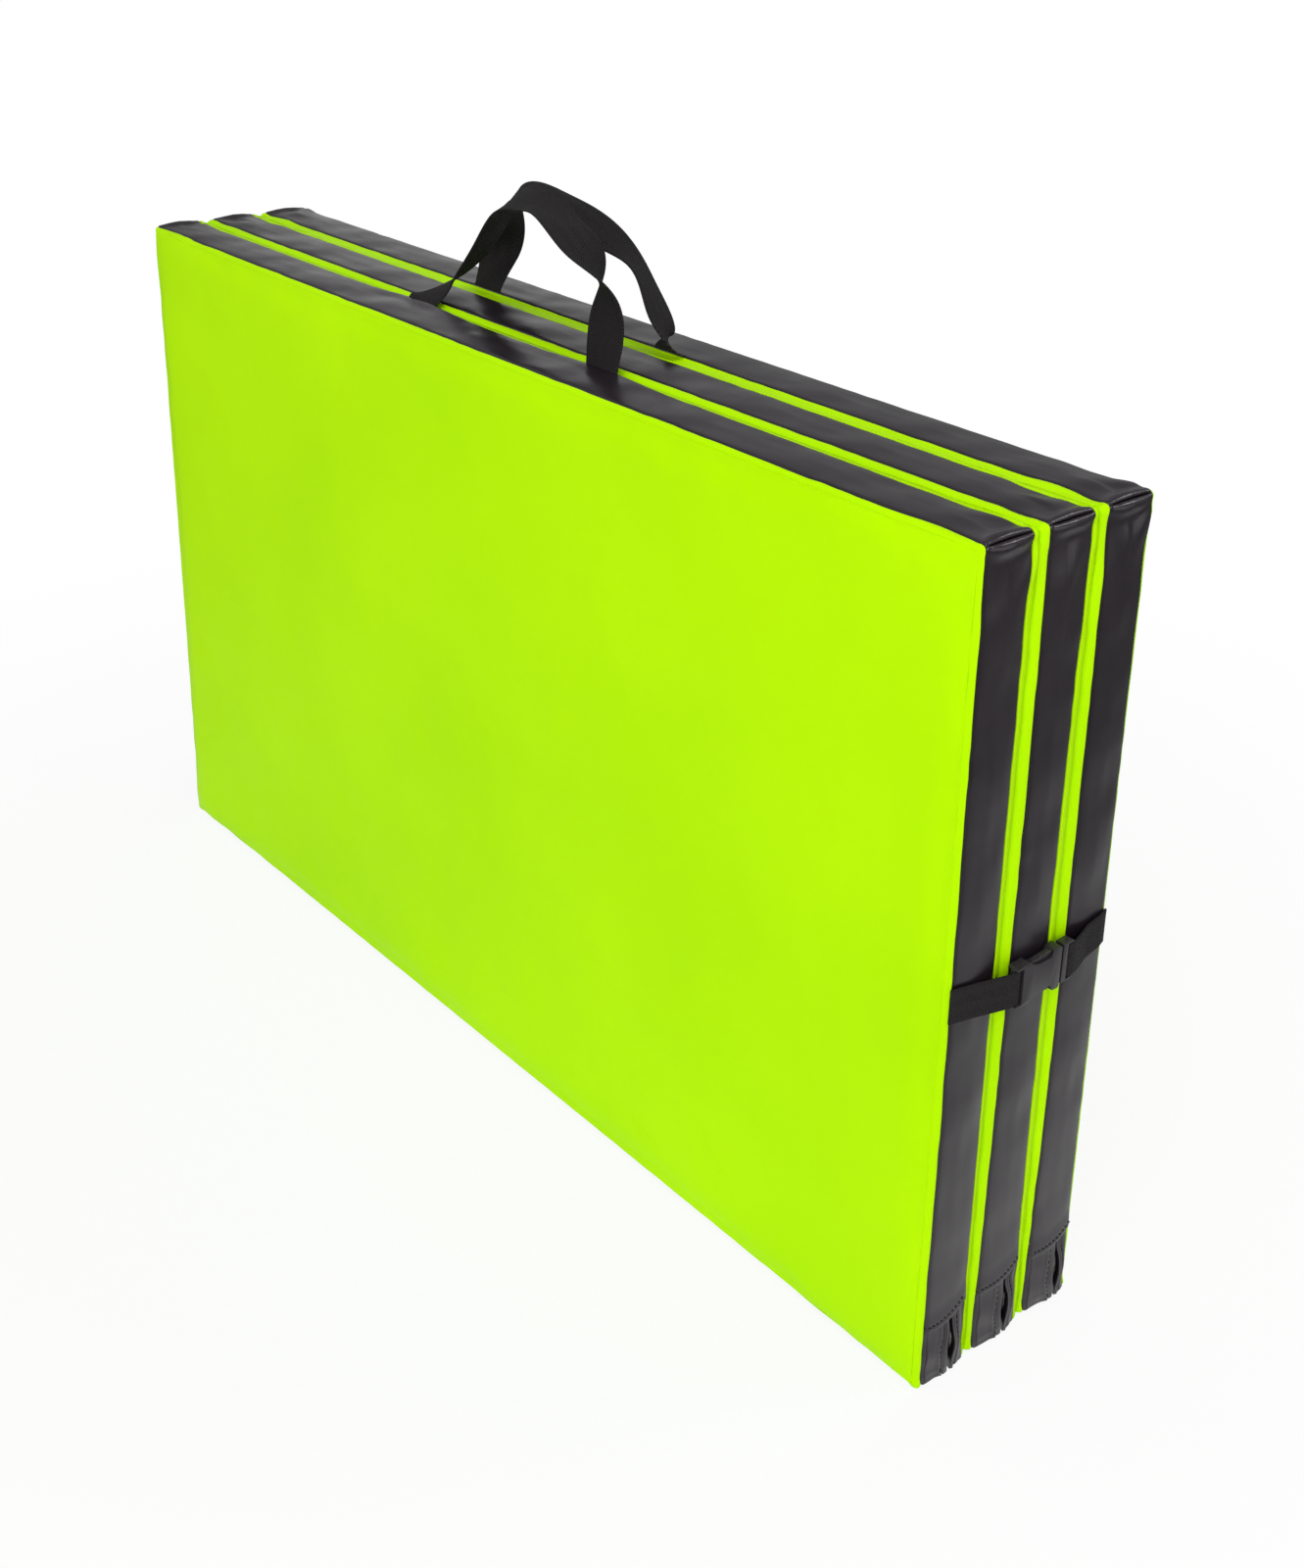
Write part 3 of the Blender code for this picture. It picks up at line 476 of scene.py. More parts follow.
def relief(panel, s, y):
    """How far the side stands out from the outline.

    A crown falls off with y squared, the rims turn in as a quarter of an ellipse, each seam is
    a sharp valley with soft shoulders, small puckers run square to the seams and die out across
    the band, broad hills lie along it, the band's edge is lifted where a handle pulls, and the
    corner seam is a valley between two fuller edges with folds that fan away from it.
    """
    seed = 40 + 10 * ORDER[panel]
    level, depth = (np.where(y > 0, back, front) for back, front in zip(rim(panel, 1), rim(panel, -1)))
    turn = np.clip((np.abs(y) - RIM_START) / (level - RIM_START), 0, 1)
    out = -SIDE_CROWN * (y / HALF_THICKNESS) ** 2 - depth * (1 - np.sqrt(1 - turn**2))
    inside = smooth(0, 0.012, SEAM - np.abs(y))
    for side in (-1, 1):
        gap = y - seam_line(panel, side, s)
        out -= 0.0016 * np.where(gap * side > 0, crease(gap, 0.0013), crease(gap, 0.0024))
        near = np.exp(-np.abs(gap) / 0.006)
        pull = waver(s, (0.023, 0.031, 0.0197, 0.047), seed + 1 + side, ROUND)
        strength = 0.5 + 0.5 * waver(s, (0.21, 0.135), seed + 4 + side, ROUND)
        out += 0.00042 * near * pull * strength
    out += inside * 0.00055 * waver(s + 0.6 * y, (0.11, 0.071, 0.19, 0.047), seed + 7, ROUND)
    along = MARKS[4] + STRAIGHT - s
    on_top = smooth(MARKS[4], MARKS[4] + 0.02, s) * (1 - smooth(MARKS[5] - 0.02, MARKS[5], s))
    for owner, side, x, pull in FOOT_PULLS:
        if owner == panel:
            past = side * (y - seam_line(panel, side, s))
            lip = smooth(-0.014, -0.001, past) * (1 - smooth(0.0, 0.0025, past))
            out += 0.8 * pull * on_top * bump_at(along, x, 0.050) * lip
    for corner in (BOTTOM_RIGHT, BOTTOM_LEFT):
        out += 0.0022 * bump_at(s, corner, 0.0048)
    for corner in (TOP_RIGHT, TOP_LEFT):
        d = s - corner
        broad = smooth(-0.002, 0.005, SEAM - np.abs(y))
        out += 0.0020 * bump_at(d, 0.0, 0.0052)
        out -= broad * 0.0018 * crease(d, 0.0020)
        out += 0.0015 * inside * bump_at(np.abs(d), 0.0056, 0.0040)
        reach = np.exp(-np.abs(d) / 0.038) * smooth(0.002, 0.014, np.abs(d))
        fan = np.sin(2 * math.pi * (y * 31 + np.abs(d) * 11 * np.sign(y + 1e-9)) + seed)
        sweep = np.sin(2 * math.pi * (np.abs(d) / 0.052 + y * 15) + 0.7 * seed)
        fold = 0.6 * fan + 0.8 * sweep
        out += 0.0020 * reach * np.where(fold > 0, fold, 0.4 * fold)
    return out


def closure_relief(panel, s, y, edge, sign):
    """What the zip bands add: up the ends the lip swells and bows out towards the bottom, and
    beside its turned edge lie a ridge and the groove of a line of stitches."""
    z, nx, nz = outline(s)[1:]
    up_end = np.abs(nx)
    height = z + CORNER * nz
    from_edge = (edge - y) * sign
    bow = 0.0024 * up_end * bump_at(height, 0.016, 0.017) * np.exp(-from_edge / 0.006)
    uneven = 0.75 + 0.5 * waver(height, (0.027, 0.043), 80 + ORDER[panel])
    ridge = 0.0010 * bump_at(from_edge, 0.0026, 0.0011) + 0.0006 * uneven * bump_at(from_edge, 0.0072, 0.0016)
    groove = -0.0009 * crease(from_edge - 0.0048, 0.0014)
    far = smooth(0.001, 0.006, np.abs(y - seam_line(panel, -sign, s)))
    under = -0.0011 * up_end * smooth(0.030, 0.046, height) * far
    ruck = up_end * 0.0006 * waver(height + 0.5 * y, (0.021, 0.034), 70 + ORDER[panel])
    return bow + ridge + groove + under + ruck * smooth(0.002, 0.012, from_edge)


CLOTH = {}


def cloth_shift(panel, s, y):
    """The simulated cover's move at s, y: the same cover turned end for end or front to back,
    and held up by the floor."""
    if not CLOTH:
        return 0.0
    flip_x, flip_y = TURNED[panel]
    around = np.mod(s, ROUND) if flip_x > 0 else ROUND - np.mod(s, ROUND)
    move = sample(CLOTH["side"], CLOTH["s"], CLOTH["y"], around, flip_y * y)
    held = 1 - np.clip(-outline(s)[3], 0, 1)
    move[..., 2] = np.where(move[..., 2] < 0, held * move[..., 2], move[..., 2])
    return move * np.array([flip_x, flip_y, 1])


def side_points(panel, s, y, lift=0.0):
    """Points of a panel's side: core + direction * (corner radius + relief + lift), never under
    the floor, with the simulated cover's move added."""
    s, y = np.broadcast_arrays(s, y)
    x, z, nx, nz = outline(s)
    reach = CORNER + relief(panel, s, y) + lift
    points = xyz(x + nx * reach, y, z + nz * reach) + cloth_shift(panel, s, y)
    points[..., 1] += PANELS[panel]
    points[..., 2] = np.maximum(points[..., 2], LOWEST)
    return points


def lattice(near, far):
    """A face's stations along X and Z; outside the straight part they share out the corner."""
    share = np.linspace(0, 1, 5)[1:] * CORNER
    x = stations(-STRAIGHT, STRAIGHT, near, far, 0.06)
    z = stations(CORNER, HEIGHT - CORNER, near, far, 0.06)
    return (
        np.r_[-STRAIGHT - share[::-1], x, STRAIGHT + share],
        np.r_[CORNER - share[::-1], z, HEIGHT - CORNER + share],
    )


def face_plan(x, z, radius):
    """The lattice laid in the face's rounded outline.

    Within a corner the square of stations is drawn to a quarter disc: a point keeps its
    direction from the corner's core point, and its distance becomes its larger coordinate.
    """
    x, z = np.meshgrid(x, z, indexing="ij")
    core_x, core_z = np.clip(x, -STRAIGHT, STRAIGHT), np.clip(z, CORNER, HEIGHT - CORNER)
    u, v = (x - core_x) / CORNER, (z - core_z) / CORNER
    norm = np.hypot(u, v)
    share = np.maximum(np.abs(u), np.abs(v)) / np.maximum(norm, 1e-9)
    return core_x + u * share * radius, core_z + v * share * radius


def rim_loop(x, z):
    """The lattice's border round the outline from the bottom's left end, and s of each point: the
    run along a straight side, and at a corner the mark before it plus radius times angle."""
    nx, nz = len(x), len(z)
    along, up = np.arange(nx - 1), np.arange(nz - 1)
    i = np.r_[along, 0 * up + nx - 1, nx - 1 - along, 0 * up]
    j = np.r_[0 * along, up, 0 * along + nz - 1, nz - 1 - up]
    px, pz = x[i], z[j]
    core_x, core_z = np.clip(px, -STRAIGHT, STRAIGHT), np.clip(pz, CORNER, HEIGHT - CORNER)
    u, v = px - core_x, pz - core_z
    angle = np.degrees(np.arctan2(v, u))
    quarter = (np.mod(angle + 90, 360) // 90).astype(int)
    bottom, right = np.mod(core_x, ROUND), MARKS[2] + core_z - CORNER
    top, left = MARKS[4] + STRAIGHT - core_x, MARKS[6] + HEIGHT - CORNER - core_z
    straight = np.choose(quarter, [bottom, right, top, left])
    turned = MARKS[2 * quarter + 1] + CORNER * np.radians(np.mod(angle - 90 * (quarter - 1), 360))
    return i * nz + j, np.where(np.minimum(np.abs(u), np.abs(v)) < 1e-9, straight, turned)


def face_level(x, z, rim=FACE_LEVEL):
    """How far a face stands from the panel's middle plane: level, going over to its rims."""
    border = np.minimum(HALF_LENGTH - np.abs(x), np.minimum(z, HEIGHT - z))
    near = np.clip(1 - border / DRAW_IN_REACH, 0, 1) ** 2
    return HALF_THICKNESS + (rim - HALF_THICKNESS) * near


def held_by_foam(move, outward, most):
    """A move whose outward share is softly capped, and whose inward share the foam stops within
    a fifth of a millimetre; what runs along the surface is capped like the outward share."""
    out = (move * outward).sum(-1, keepdims=True)
    along = move - out * outward
    size = np.maximum(np.linalg.norm(along, axis=-1, keepdims=True), 1e-9)
    out = np.where(out > 0, most * np.tanh(out / most), 0.0002 * np.tanh(out / 0.0002))
    return out * outward + along / size * most * np.tanh(size / most)


def stuffed_shell(near, far, middle, inset, shrink, places, reach_at):
    """A closed block of the cover's shape: two faces, inset and shrunk, joined round their
    borders by rings at places across, where reach_at gives how far a ring lies from the core."""
    x, z = lattice(near, far)
    face_x, face_z = face_plan(x, z, CORNER - RIM_INSET)
    loop, s = rim_loop(x, z)
    level = face_level(face_x, face_z) - inset
    face_x = face_x * (1 - shrink / HALF_LENGTH)
    face_z = shrink + face_z * (1 - 2 * shrink / HEIGHT)
    faces = [xyz(face_x, middle + side * level, face_z).reshape(-1, 3) for side in (-1, 1)]
    cx, cz, nx, nz = outline(s)
    rings = []
    for y in places:
        reach = reach_at(y, cz, nx, nz)
        rings.append(xyz(cx + nx * reach, middle + y, cz + nz * reach))
    n_face, count = len(faces[0]), len(s)
    rows = [loop, *(2 * n_face + k * count + np.arange(count) for k in range(len(rings))), n_face + loop]
    lid = grid_faces(len(x), len(z))
    quads = np.concatenate([lid, n_face + lid[:, ::-1], *ring_faces(rows)])
    return x, z, s, rows, np.concatenate([*faces, *rings]), quads


def cover_reach(y, cz, nx, nz):
    """The corner radius, less the rim's turn and the crown's fall, both with y squared."""
    turn = RIM_INSET * (np.clip(np.abs(y) - SEAM, 0, 1) / (FACE_LEVEL - SEAM)) ** 2
    return CORNER - turn - SIDE_CROWN * (y / HALF_THICKNESS) ** 2


def simulate_cover():
    """Blows the whole cover up a little like the stuffed one.

    A closed shell on a coarse lattice, held at its seams, is a Cloth with pressure 4 and no
    gravity for 20 frames; each point's move, softly capped, is kept for the finished cover.
    """
    half = np.array([0.0068, 0.0135, 0.0198, 0.0222, 0.0236])
    across = np.r_[-half[::-1], 0, half]
    x, z, s, rows, points, faces = stuffed_shell(0.006, 0.0125, 0, 0.0004, 0, across[1:-1], cover_reach)
    mesh = bpy.data.meshes.new("cover_trial")
    mesh.from_pydata(points, [], faces.tolist())
    cover = show("cover_trial", mesh)
    held = cover.vertex_groups.new(name="sewn")
    corners = [int(np.argmin(np.abs(s - c))) for c in (TOP_RIGHT, TOP_LEFT)]
    sewn = {int(v) for k, y in enumerate(across[1:-1], 1) if abs(abs(y) - SEAM) < 1e-6 for v in rows[k]}
    sewn |= {int(row[c]) for row in rows[3:-3] for c in corners}
    held.add(sorted(sewn), 1.0, "REPLACE")
    cloth = cover.modifiers.new("cover", "CLOTH")
    settings = cloth.settings
    settings.quality, settings.mass = 6, 0.35
    settings.tension_stiffness = settings.compression_stiffness = 20
    settings.shear_stiffness, settings.bending_stiffness = 6, 0.6
    settings.use_pressure, settings.uniform_pressure_force = True, 4
    settings.shrink_min = settings.shrink_max = -0.008
    settings.effector_weights.gravity = 0
    settings.vertex_group_mass = "sewn"
    cloth.point_cache.frame_start, cloth.point_cache.frame_end = 1, 20
    for number in range(1, 21):
        bpy.context.scene.frame_set(number)
    shaped = cover.evaluated_get(bpy.context.evaluated_depsgraph_get()).to_mesh()
    moved = np.empty(len(points) * 3)
    shaped.vertices.foreach_get("co", moved)
    move = moved.reshape(-1, 3) - points
    bpy.data.objects.remove(cover)
    bpy.data.meshes.remove(mesh)
    bpy.context.scene.frame_set(1)
    order = np.argsort(s)
    on_side = np.stack([move[row][order] for row in rows], 1)
    for _ in range(2):
        on_side = (np.roll(on_side, 1, 0) + 2 * on_side + np.roll(on_side, -1, 0)) / 4
    on_side = held_by_foam(on_side, outward(s[order])[:, None], 0.0016)
    CLOTH["side"] = np.concatenate([on_side[-1:], on_side, on_side[:1]])
    CLOTH["s"] = np.r_[s[order][-1] - ROUND, s[order], s[order][0] + ROUND]
    CLOTH["y"], CLOTH["x"], CLOTH["z"] = across, x, z
    n_face = len(x) * len(z)
    for side, start in ((-1, 0), (1, n_face)):
        on_face = move[start : start + n_face].reshape(len(x), len(z), 3)
        for _ in range(3):
            on_face[1:-1, 1:-1] = (
                2 * on_face[1:-1, 1:-1]
                + (on_face[:-2, 1:-1] + on_face[2:, 1:-1] + on_face[1:-1, :-2] + on_face[1:-1, 2:]) / 2
            ) / 4
        CLOTH[side] = held_by_foam(on_face, np.array([0.0, side, 0.0]), 0.0017)


def skin_mesh(panel, side, x, z):
    """One face skin: the drawn-in face with soft hills in it, the rounded rim (a quarter of an
    ellipse from the face to the side) and the turn down into the seam."""
    rim_y, inset = rim(panel, side)
    face_x, face_z = face_plan(x, z, CORNER - inset)
    seed = 20 + 2 * ORDER[panel] + (side > 0)
    border = np.minimum(HALF_LENGTH - np.abs(face_x), np.minimum(face_z, HEIGHT - face_z))
    hills = 0.00035 * waves_over(face_x, face_z, 0.21, seed)
    hills = hills + 0.0002 * waves_over(face_x, face_z, 0.09, seed + 50)
    puffs = 0.0007 * waves_over(face_x, face_z, 0.055, seed + 90) * np.exp(-border / 0.022)
    level = face_level(face_x, face_z, rim_y) + (hills + puffs) * smooth(0, 0.012, border)
    points = xyz(face_x, side * level, face_z)
    if CLOTH:
        flip_x, flip_y = TURNED[panel]
        grid_x, grid_z = np.meshgrid(x, z, indexing="ij")
        move = sample(CLOTH[side * flip_y], CLOTH["x"], CLOTH["z"], flip_x * grid_x, grid_z)
        points = points + move * np.array([flip_x, flip_y, 1])
    points[..., 1] += PANELS[panel]
    points[..., 2] = np.maximum(points[..., 2], LOWEST)
    loop, s = rim_loop(x, z)
    seam = seam_line(panel, side, s)
    rings = []
    for p in np.linspace(0, 1, 9)[1:]:
        below = (rim_y - side * seam - 0.0008) * (1 - math.cos(p * math.pi / 2))
        rings.append(side_points(panel, s, side * (rim_y - below)))
    rings += [side_points(panel, s, seam + side * gap) for gap in (0.0005, 0.00025, 0.00001)]
    rows = [loop, *(len(x) * len(z) + k * len(s) + np.arange(len(s)) for k in range(len(rings)))]
    faces = np.concatenate([grid_faces(len(x), len(z)), *ring_faces(rows)])
    points = np.concatenate([points.reshape(-1, 3), *rings])
    if (panel, side) in INNER:
        out = side * (points[:, 1] - PANELS[panel])
        free = 0.0262 if side < 0 else 0.0250
        held = free + 0.0014 * np.tanh(np.maximum(out - free, 0) / 0.0014)
        points[:, 1] = PANELS[panel] + side * np.minimum(out, held)
    return points, faces if side < 0 else faces[:, ::-1]


# Shares across a band, close together at both edges
NEAR_EDGE = np.array([0, 0.00025, 0.0006, 0.0011, 0.0018, 0.0028, 0.0044, 0.0066])
ACROSS = np.r_[NEAR_EDGE, np.linspace(0.0066, 0.0334, 13)[1:-1], 0.04 - NEAR_EDGE[::-1]] / 0.04


def end_edge(panel, y):
    """Height of an end band's lower edge over the zip bands: a shallow curve, higher behind."""
    t = (y + SEAM) / (2 * SEAM)
    lift = {"front": 0.0, "middle": 0.0015, "rear": 0.002}[panel]
    return 0.0462 + lift + 0.0085 * t**2.3 - 0.0012 * np.sin(math.pi * t)


def band_between(panel, s, overlap=0.0):
    """A band from one seam to the other: s runs along it and the shares across run from seam to
    seam; near an overlapped end it stands out by the given lift."""
    low, high = seam_line(panel, -1, s), seam_line(panel, 1, s)
    y = low + (high - low) * ACROSS
    return side_points(panel, s, y, overlap)


def top_band(panel):
    """The top band, from corner seam to corner seam."""
    return band_between(panel, stations(TOP_RIGHT + HAIR, TOP_LEFT - HAIR, 0.0011, 0.0052, 0.05)[:, None])


def end_band(panel, right):
    """An end band: up its height the places go evenly from its curved lower edge to the corner
    seam, and it stands out a little where it laps over the zip bands."""
    share = stations(0, 1, 0.0022, 0.0088, 0.06)[:, None]
    corner = TOP_RIGHT - HAIR if right else ROUND - (TOP_LEFT + HAIR)
    guess = -SEAM + 2 * SEAM * ACROSS
    start = MARKS[2] + end_edge(panel, guess) - CORNER
    s = start + (corner - start) * share
    lift = 0.0013 * (1 - smooth(0.0, 0.03, share)) + 0 * s
    lift = lift - 0.0004 * crease(share - 0.0062, 0.004)
    if not right:
        s = ROUND - s
    return band_between(panel, s, lift)


def slot_edge(panel, s, sign):
    """Where a zip band's turned edge runs: straight along the bottom; up the ends the slot is
    widest a little above the floor and closes towards the top, and its edges wander."""
    x, z, nx, nz = outline(s)
    height = z + CORNER * nz
    up_end = smooth(0.1, 0.9, np.abs(nx))
    half = 0.0011 + 0.0030 * bump_at(height, 0.023, 0.013)
    seed = 30 + 2 * ORDER[panel] + (sign > 0)
    drift = 0.0006 * waver(height, (0.033, 0.019), seed) - 0.0012 * (0.02 - height) / 0.05
    below = 0.0011 + (SLOT_HALF - 0.0011) * smooth(-0.0045, 0.0005, STRAIGHT - np.abs(x))
    half = below + up_end * (half - below)
    return SLOT_MIDDLE + up_end * drift + sign * half


def zip_band(panel, sign):
    """A zip band from its seam to its turned edge at the slot: round the bottom and up both
    ends; its edge is rolled in by a hem that goes down to the zip's tape."""
    top = CLOSURE_HEIGHT + 0.010 - CORNER
    right = stations(0, MARKS[2] + top, 0.0022, 0.0052, 0.05)
    s = np.mod(np.r_[-right[:0:-1], right][:, None], ROUND)
    edge, seam = slot_edge(panel, s, sign), seam_line(panel, sign, s)
    near = np.array([0, 0.0002, 0.0005, 0.001, 0.0018, 0.003]) / 0.02
    shares = np.r_[near, 0.15 + 0.70 * np.linspace(0, 1, 14), 1 - near[3::-1]]
    y = seam + (edge - seam) * shares
    y_hem = edge + sign * np.array([0.00005, 0.0002, 0.0006, 0.0012, 0.0016])
    hem = np.array([0.0007, 0.0014, 0.0020, 0.0034, 0.0047])
    body = side_points(panel, s, y, closure_relief(panel, s, y, edge, -sign))
    rolled_edge = closure_relief(panel, s, edge + 0 * y_hem, edge, -sign)
    rolled = side_points(panel, s, y_hem, rolled_edge - hem - 0.0002)
    return np.concatenate([body, rolled], 1)


def panel_pieces(panel):
    """Foam block, two skins, three bands and two zip bands of one panel."""
    body = panel + "_panel"
    x, z = lattice(0.0026, 0.0054)
    for side, name in ((-1, "front_skin"), (1, "back_skin")):
        points, faces = skin_mesh(panel, side, x, z)
        node = f"{body}_{name}"
        made = new_piece(node + "_cover", points, faces, LIME_PVC, body, "lime_vinyl", node)
        thicken(made)
    bands = {
        "top_band": (top_band(panel), True),
        "right_end_band": (end_band(panel, True), True),
        "left_end_band": (end_band(panel, False), False),
        "zip_band_front": (zip_band(panel, -1), True),
        "zip_band_rear": (zip_band(panel, 1), False),
    }
    for name, (points, flip) in bands.items():
        node = f"{body}_{name}"
        faces = grid_faces(*points.shape[:2], flip=flip)
        made = new_piece(node + "_cover", points, faces, BLACK_PVC, body, "black_vinyl", node)
        thicken(made)
        if name == "top_band" and panel != "front":
            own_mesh(made)
    foam_block(panel)
    zip_pieces(panel)


def foam_block(panel):
    """The foam: a closed block the cover's shape less a wall and a fit gap, with a groove for
    the zip along its bottom and up both ends."""
    inset = COVER_THICKNESS + 0.0009
    low, high = SLOT_MIDDLE - 0.0080, SLOT_MIDDLE + 0.0080
    places = [-0.0222, -0.0198, -0.0135, -0.0068, low - 0.0002, low]
    places += [high, high + 0.0002, 0.0180, 0.0198, 0.0222]

    def foam_reach(y, cz, nx, nz):
        """The corner radius, less the wall and gap, the rim's turn and the crown's fall, both
        with y squared, and a flattening at the corners; within the groove it is the core itself."""
        curl = RIM_INSET * (max(0.0, abs(y) - SEAM) / (FACE_LEVEL - SEAM)) ** 2
        curl = curl + 0.0018 * smooth(0.0140, 0.0195, abs(y)) + 0.0016 * (2 * nx * nz) ** 2
        reach = CORNER - inset - curl - SIDE_CROWN * (y / HALF_THICKNESS) ** 2
        in_groove = (cz + CORNER * nz < CLOSURE_HEIGHT) & (low - 1e-6 <= y <= high + 1e-6)
        return np.where(in_groove, -0.0004, reach)

    shell = stuffed_shell(0.006, 0.012, PANELS[panel], inset, inset, places, foam_reach)
    node = panel + "_panel_foam_core"
    new_piece(node + "_block", *shell[4:], FOAM, panel + "_panel", "foam", node)


# Zip


def along_closure(step, top):
    """Places along the zip's tape, with their outward directions: down one end, along the bottom
    and up the other."""
    reach = MARKS[2] + top - CORNER
    x, z, nx, nz = outline(np.mod(np.arange(-reach, reach, step), ROUND)[:, None])
    out = CORNER - TAPE_DEPTH
    return x + nx * out, z + nz * out, nx, nz


def zip_pieces(panel):
    """The tape as a thin woven strip with two raised cords, and the coil as small bars across
    it, each bar a six-sided loop with its ends tucked down."""
    body, node = panel + "_panel", panel + "_panel_zip_chain"
    middle = PANELS[panel] + SLOT_MIDDLE
    x, z, nx, nz = along_closure(0.004, 0.0475)
    across = np.linspace(-0.0075, 0.0075, 25)
    raised = 0.0004 * bump_at(np.abs(across), 0.0031, 0.0006)
    points = xyz(x + nx * raised, middle + across, z + nz * raised)
    faces = grid_faces(*points.shape[:2], flip=True)
    thicken(new_piece(node + "_tape", points, faces, ZIP_TAPE, body, "zip_tape", node), 0.0006)
    x, z, nx, nz = (part[..., None] for part in along_closure(0.0016, 0.047))
    reach = np.array([-0.0019, -0.0017, -0.0009, 0.0009, 0.0017, 0.0019])[:, None]
    rise = np.array([0.0001, 0.0006, 0.0009, 0.0009, 0.0006, 0.0001])[:, None]
    lean = np.array([0.0, 0.0, -0.00012, 0.00012, 0.0, 0.0])[:, None]
    t, n = lean + 0.0005 * np.cos(SIXTHS), rise + 0.0004 * np.sin(SIXTHS)
    coil = xyz(x - nz * t + nx * n, middle + reach, z + nx * t + nz * n)
    new_piece(node + "_coil", coil, bar_faces(len(x), 6, flip=True), ZIP_COIL, body, "zip_tape")


def softened(node, material, body, width, segments=2):
    """A merged copy of a CAD node with its edges rounded, standing for the node."""
    bm = bmesh.new()
    bm.from_mesh(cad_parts[node].data)
    bmesh.ops.remove_doubles(bm, verts=bm.verts, dist=1e-6)
    bmesh.ops.dissolve_limit(bm, angle_limit=math.radians(1.0), verts=bm.verts, edges=bm.edges)
    mesh = bpy.data.meshes.new(node + "_rounded")
    bm.to_mesh(mesh)
    bm.free()
    obj = assign(node + "_rounded", mesh, material, body, node)
    rounding = obj.modifiers.new("rounding", "BEVEL")
    rounding.width, rounding.segments = width, segments
    rounding.limit_method, rounding.angle_limit = "ANGLE", math.radians(28)
    rounding.harden_normals = False
    rounding.miter_outer = "MITER_ARC"


# Stitches


def stitches(panel, name, s, y, lift, step, length):
    """Thread stitches this far apart along a line on a panel's side: at each place a short
    six-sided spindle lying along the line, its ends dipping into the cloth."""
    line = side_points(panel, s, y, lift)
    run = distances(line)
    chosen = np.searchsorted(run, np.arange(step / 2, run[-1], step))
    points, normals = line[chosen], outward(s)[chosen]
    run = unit(np.gradient(points, axis=0))
    normals = unit(normals - (normals * run).sum(1)[:, None] * run)
    side = np.cross(run, normals)
    along = np.array([-0.5, -0.36, 0, 0.36, 0.5])[:, None, None] * length
    lift = np.array([-0.0006, 0.0001, 0.00028, 0.0001, -0.0006])[:, None, None]
    size = np.array([0.35, 0.9, 1, 0.9, 0.35])[:, None, None] * 0.00038
    points, run, normals, side = (part[:, None, None] for part in (points, run, normals, side))
    shell = points + along * run + lift * normals
    shell = shell + size * np.cos(SIXTHS)[:, None] * side + size * np.sin(SIXTHS)[:, None] * normals
    shell[..., 2] = np.maximum(shell[..., 2], 0.0)
    body = panel + "_panel"
    new_piece(f"{body}_{name}_stitches", shell, bar_faces(len(points), 5), THREAD, body)


def panel_stitches(panel):
    """Stitch lines of one panel: along both turned edges of the zip bands, and above the curved
    lower edge of both end bands."""
    top = CLOSURE_HEIGHT - 0.006 - CORNER
    s = np.mod(np.linspace(-(MARKS[2] + top), MARKS[2] + top, 9000), ROUND)
    for sign, name in ((-1, "zip_front"), (1, "zip_rear")):
        edge = slot_edge(panel, s, sign)
        y = edge + sign * 0.0052
        lift = closure_relief(panel, s, y, edge, -sign) + 0.0002
        stitches(panel, name, s, y, lift, 0.0042, 0.0030)
    y = np.linspace(-SEAM + 0.0012, SEAM - 0.0012, 400)
    s = MARKS[2] + end_edge(panel, y) + 0.0034 - CORNER
    stitches(panel, "right_end", s, y, 0.0012, 0.0036, 0.0026)
    stitches(panel, "left_end", ROUND - s, y, 0.0012, 0.0036, 0.0026)


# Webbing


def webbing(name, centres, sideways, size, body, node, cup=0.0, lead=0.0):
    """A woven strip: across it the faces are level with softly rounded, slightly fuller edges,
    and it may be cupped; u runs along it and v across, in metres, for the weave."""
    width, thickness = size
    sideways = unit(sideways)
    normal = unit(np.cross(unit(np.gradient(centres, axis=0)), sideways))
    half = width / 2
    flat = np.linspace(-1, 1, 13)
    edge = np.radians([30, 90, 150])
    fuller = 1 + 0.16 * np.exp(-(((1 - np.abs(flat)) / 0.12) ** 2))
    v = np.r_[flat * (half - thickness / 2), half - thickness / 2 * (1 - np.sin(edge))]
    n = np.r_[-thickness / 2 * fuller, -thickness / 2 * np.cos(edge) * 1.16]
    v, n = np.r_[v, -v], np.r_[n, -n]
    cup = np.broadcast_to(cup, (len(centres),))
    bowed = n[None] + cup[:, None] * (1 - (v[None] / half) ** 2)
    points = centres[:, None] + v[None, :, None] * sideways[:, None] + bowed[..., None] * normal[:, None]
    along = lead + distances(centres)
    uv = np.stack(np.broadcast_arrays(along[:, None], v[None]), -1)
    nu, nv = points.shape[:2]
    cap = np.arange(nv)[None]
    faces = [grid_faces(nu, nv, round_v=True, flip=True), cap, (nu - 1) * nv + cap[:, ::-1]]
    return new_piece(name, points, faces, WEBBING, body, "webbing", node, uv)


